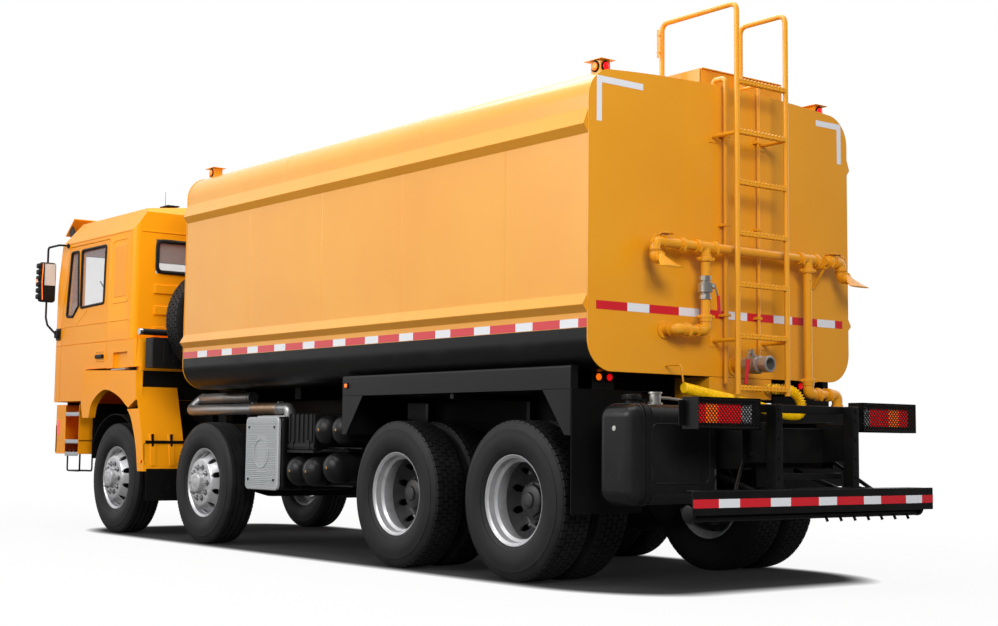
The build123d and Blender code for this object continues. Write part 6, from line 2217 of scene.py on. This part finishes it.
for side in SIDES.values():
    line = [side * (0.664 + 0.452 * step / 12) for step in range(13)]
    housing = prism(
        [(x, bumper_line(x) + 0.010) for x in line] + [
            (x, bumper_line(x) + 0.058) for x in reversed(line)
        ],
        0.804, 0.981,
    )
    gather(head_black, housing)
    for lamp_x, radius in ((0.775, 0.070), (0.925, 0.062)):
        face_y = bumper_line(lamp_x) + 0.004
        bars(head_bright, side, ((lamp_x, face_y + 0.050, 0.892), "y", face_y, radius, 40, 0.004))
        dome = turned([
            (0.0, radius * 0.92), (0.008, radius * 0.80), (0.014, radius * 0.45), (0.016, 0.0),
        ], 40, closed=False)
        gather(
            lenses["clear"], dome,
            Matrix.Translation(
                (side * lamp_x, face_y - 0.001, 0.892)
            ) @ Matrix.Rotation(-pi / 2, 4, "Z"),
        )
    line = [side * (1.012 + 0.086 * step / 4) for step in range(5)]
    turn_lamp = prism(
        [(x, bumper_line(x) + 0.003) for x in line] + [
            (x, bumper_line(x) + 0.030) for x in reversed(line)
        ],
        0.835, 0.950, 0.004,
    )
    gather(lenses["amber"], turn_lamp)
box(head_black, (-0.516, -4.625, 0.849), (0.516, -4.600, 0.981), 0.004)
for number in range(4):
    box(
        head_black, (-0.510, -4.630, 0.866 + 0.029 * number),
        (0.510, -4.615, 0.876 + 0.029 * number), 0.002,
    )
solid("headlamp_housings", head_black, black_plastic)
solid("headlamp_reflectors", head_bright, bright_steel)

# ---------------------------------------------------------------- cab interior
# Woven seats and a bunk mattress, a moulded dashboard with a black steering wheel on its column.
fabric = Finish("seat_fabric", "seat_fabric", tone(70, 70, 74), 0.9, sheen_weight=0.3)
threads = {"Vector": fabric.place, "Scale": 220.0, "Distortion": 2.0}
weave = fabric.add("ShaderNodeTexWave", threads, "Fac")
fabric.set("Base Color", fabric.blend(weave, tone(62, 62, 66), tone(84, 84, 90)))
fabric.bump(weave, 0.0006)
seat_shape = bmesh.new()
for side in SIDES.values():
    middle = side * 0.550
    box(seat_shape, (middle - 0.180, -3.565, 1.4403), (middle + 0.180, -3.165, 1.800), 0.020, 3)
solid("seat_bases", seat_shape, black_plastic, (), "cab")


def stuffed(low, high, crown, pinch, flat_side):
    """A padded block: its faces swell in the middle, its sides pull in between the corners, and the
    side it rests on, named by axis and sign, stays flat."""
    low, high = Vector(low), Vector(high)
    middle, half = (low + high) / 2, (high - low) / 2
    pad = bmesh.new()
    bmesh.ops.create_cube(pad, size=2)
    bmesh.ops.subdivide_edges(pad, edges=pad.edges, cuts=15, use_grid_fill=True)
    rest_axis, rest_sign = flat_side
    for corner in pad.verts:
        spot = corner.co.copy()
        ball = spot.normalized() * max(abs(value) for value in spot)
        moved = spot.lerp(ball, 0.10)
        for axis in range(3):
            others = [spot[other] for other in range(3) if other != axis]
            swell = (1 - others[0] ** 2) * (1 - others[1] ** 2)
            if abs(spot[axis]) < 0.999:
                continue
            if axis == rest_axis and spot[axis] * rest_sign > 0:
                moved[axis] = spot[axis]
            elif axis == rest_axis:
                moved[axis] = spot[axis] * (1 - crown * (1 - swell) / half[axis])
            else:
                edge = max(abs(value) for value in others)
                moved[axis] *= 1 - pinch * (1 - edge**2) / half[axis]
        corner.co = middle + Vector(moved[axis] * half[axis] for axis in range(3))
    bmesh.ops.recalc_face_normals(pad, faces=pad.faces)
    return pad


PADS = []
for side_name, side in SIDES.items():
    near, far = sorted((side * 0.300, side * 0.800))
    PADS.append(
        (
            f"seat_cushion_{side_name}", (near, -3.625, 1.800), (far, -3.137, 1.930), 0.030, 0.012,
            (2, -1),
        ),
    )
    PADS.append(
        (
            f"seat_back_{side_name}", (near + 0.010, -3.135, 1.850), (far - 0.010, -3.015, 2.560),
            0.030, 0.012, (1, 1),
        ),
    )
PADS.append(
    ("bunk_mattress", (-1.148, -2.955, 1.442), (1.148, -2.6955, 1.898), 0.040, 0.010, (2, -1))
)
for number, (pad_name, low, high, crown, pinch, flat_side) in enumerate(PADS):
    pad = solid(
        pad_name, stuffed(low, high, crown, pinch, flat_side), fabric, () if number else ["seats"],
        "cab", 80,
    )
solid(
    "dashboard_moulding", softened("dashboard", 0.012, 30, 3), black_plastic, ["dashboard"], "cab"
)
wheel_form = merged("steering_wheel", 0.01)
solid(
    "steering_wheel_rim", wheel_form, black_plastic, ["steering_wheel"], "steering_wheel_body", 50
)

# ---------------------------------------------------------------- lens pieces
# The lamp lenses and their rubber rings, gathered from every lamp on the truck.
solid("lamp_rings", lens_rings, flap_rubber)
for colour, finish in (("amber", amber_lens), ("red", red_lens), ("clear", clear_lens)):
    solid(f"lenses_{colour}", lenses[colour], finish)

corners = [list(corner) for corner in (cad_low, cad_high, *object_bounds())]
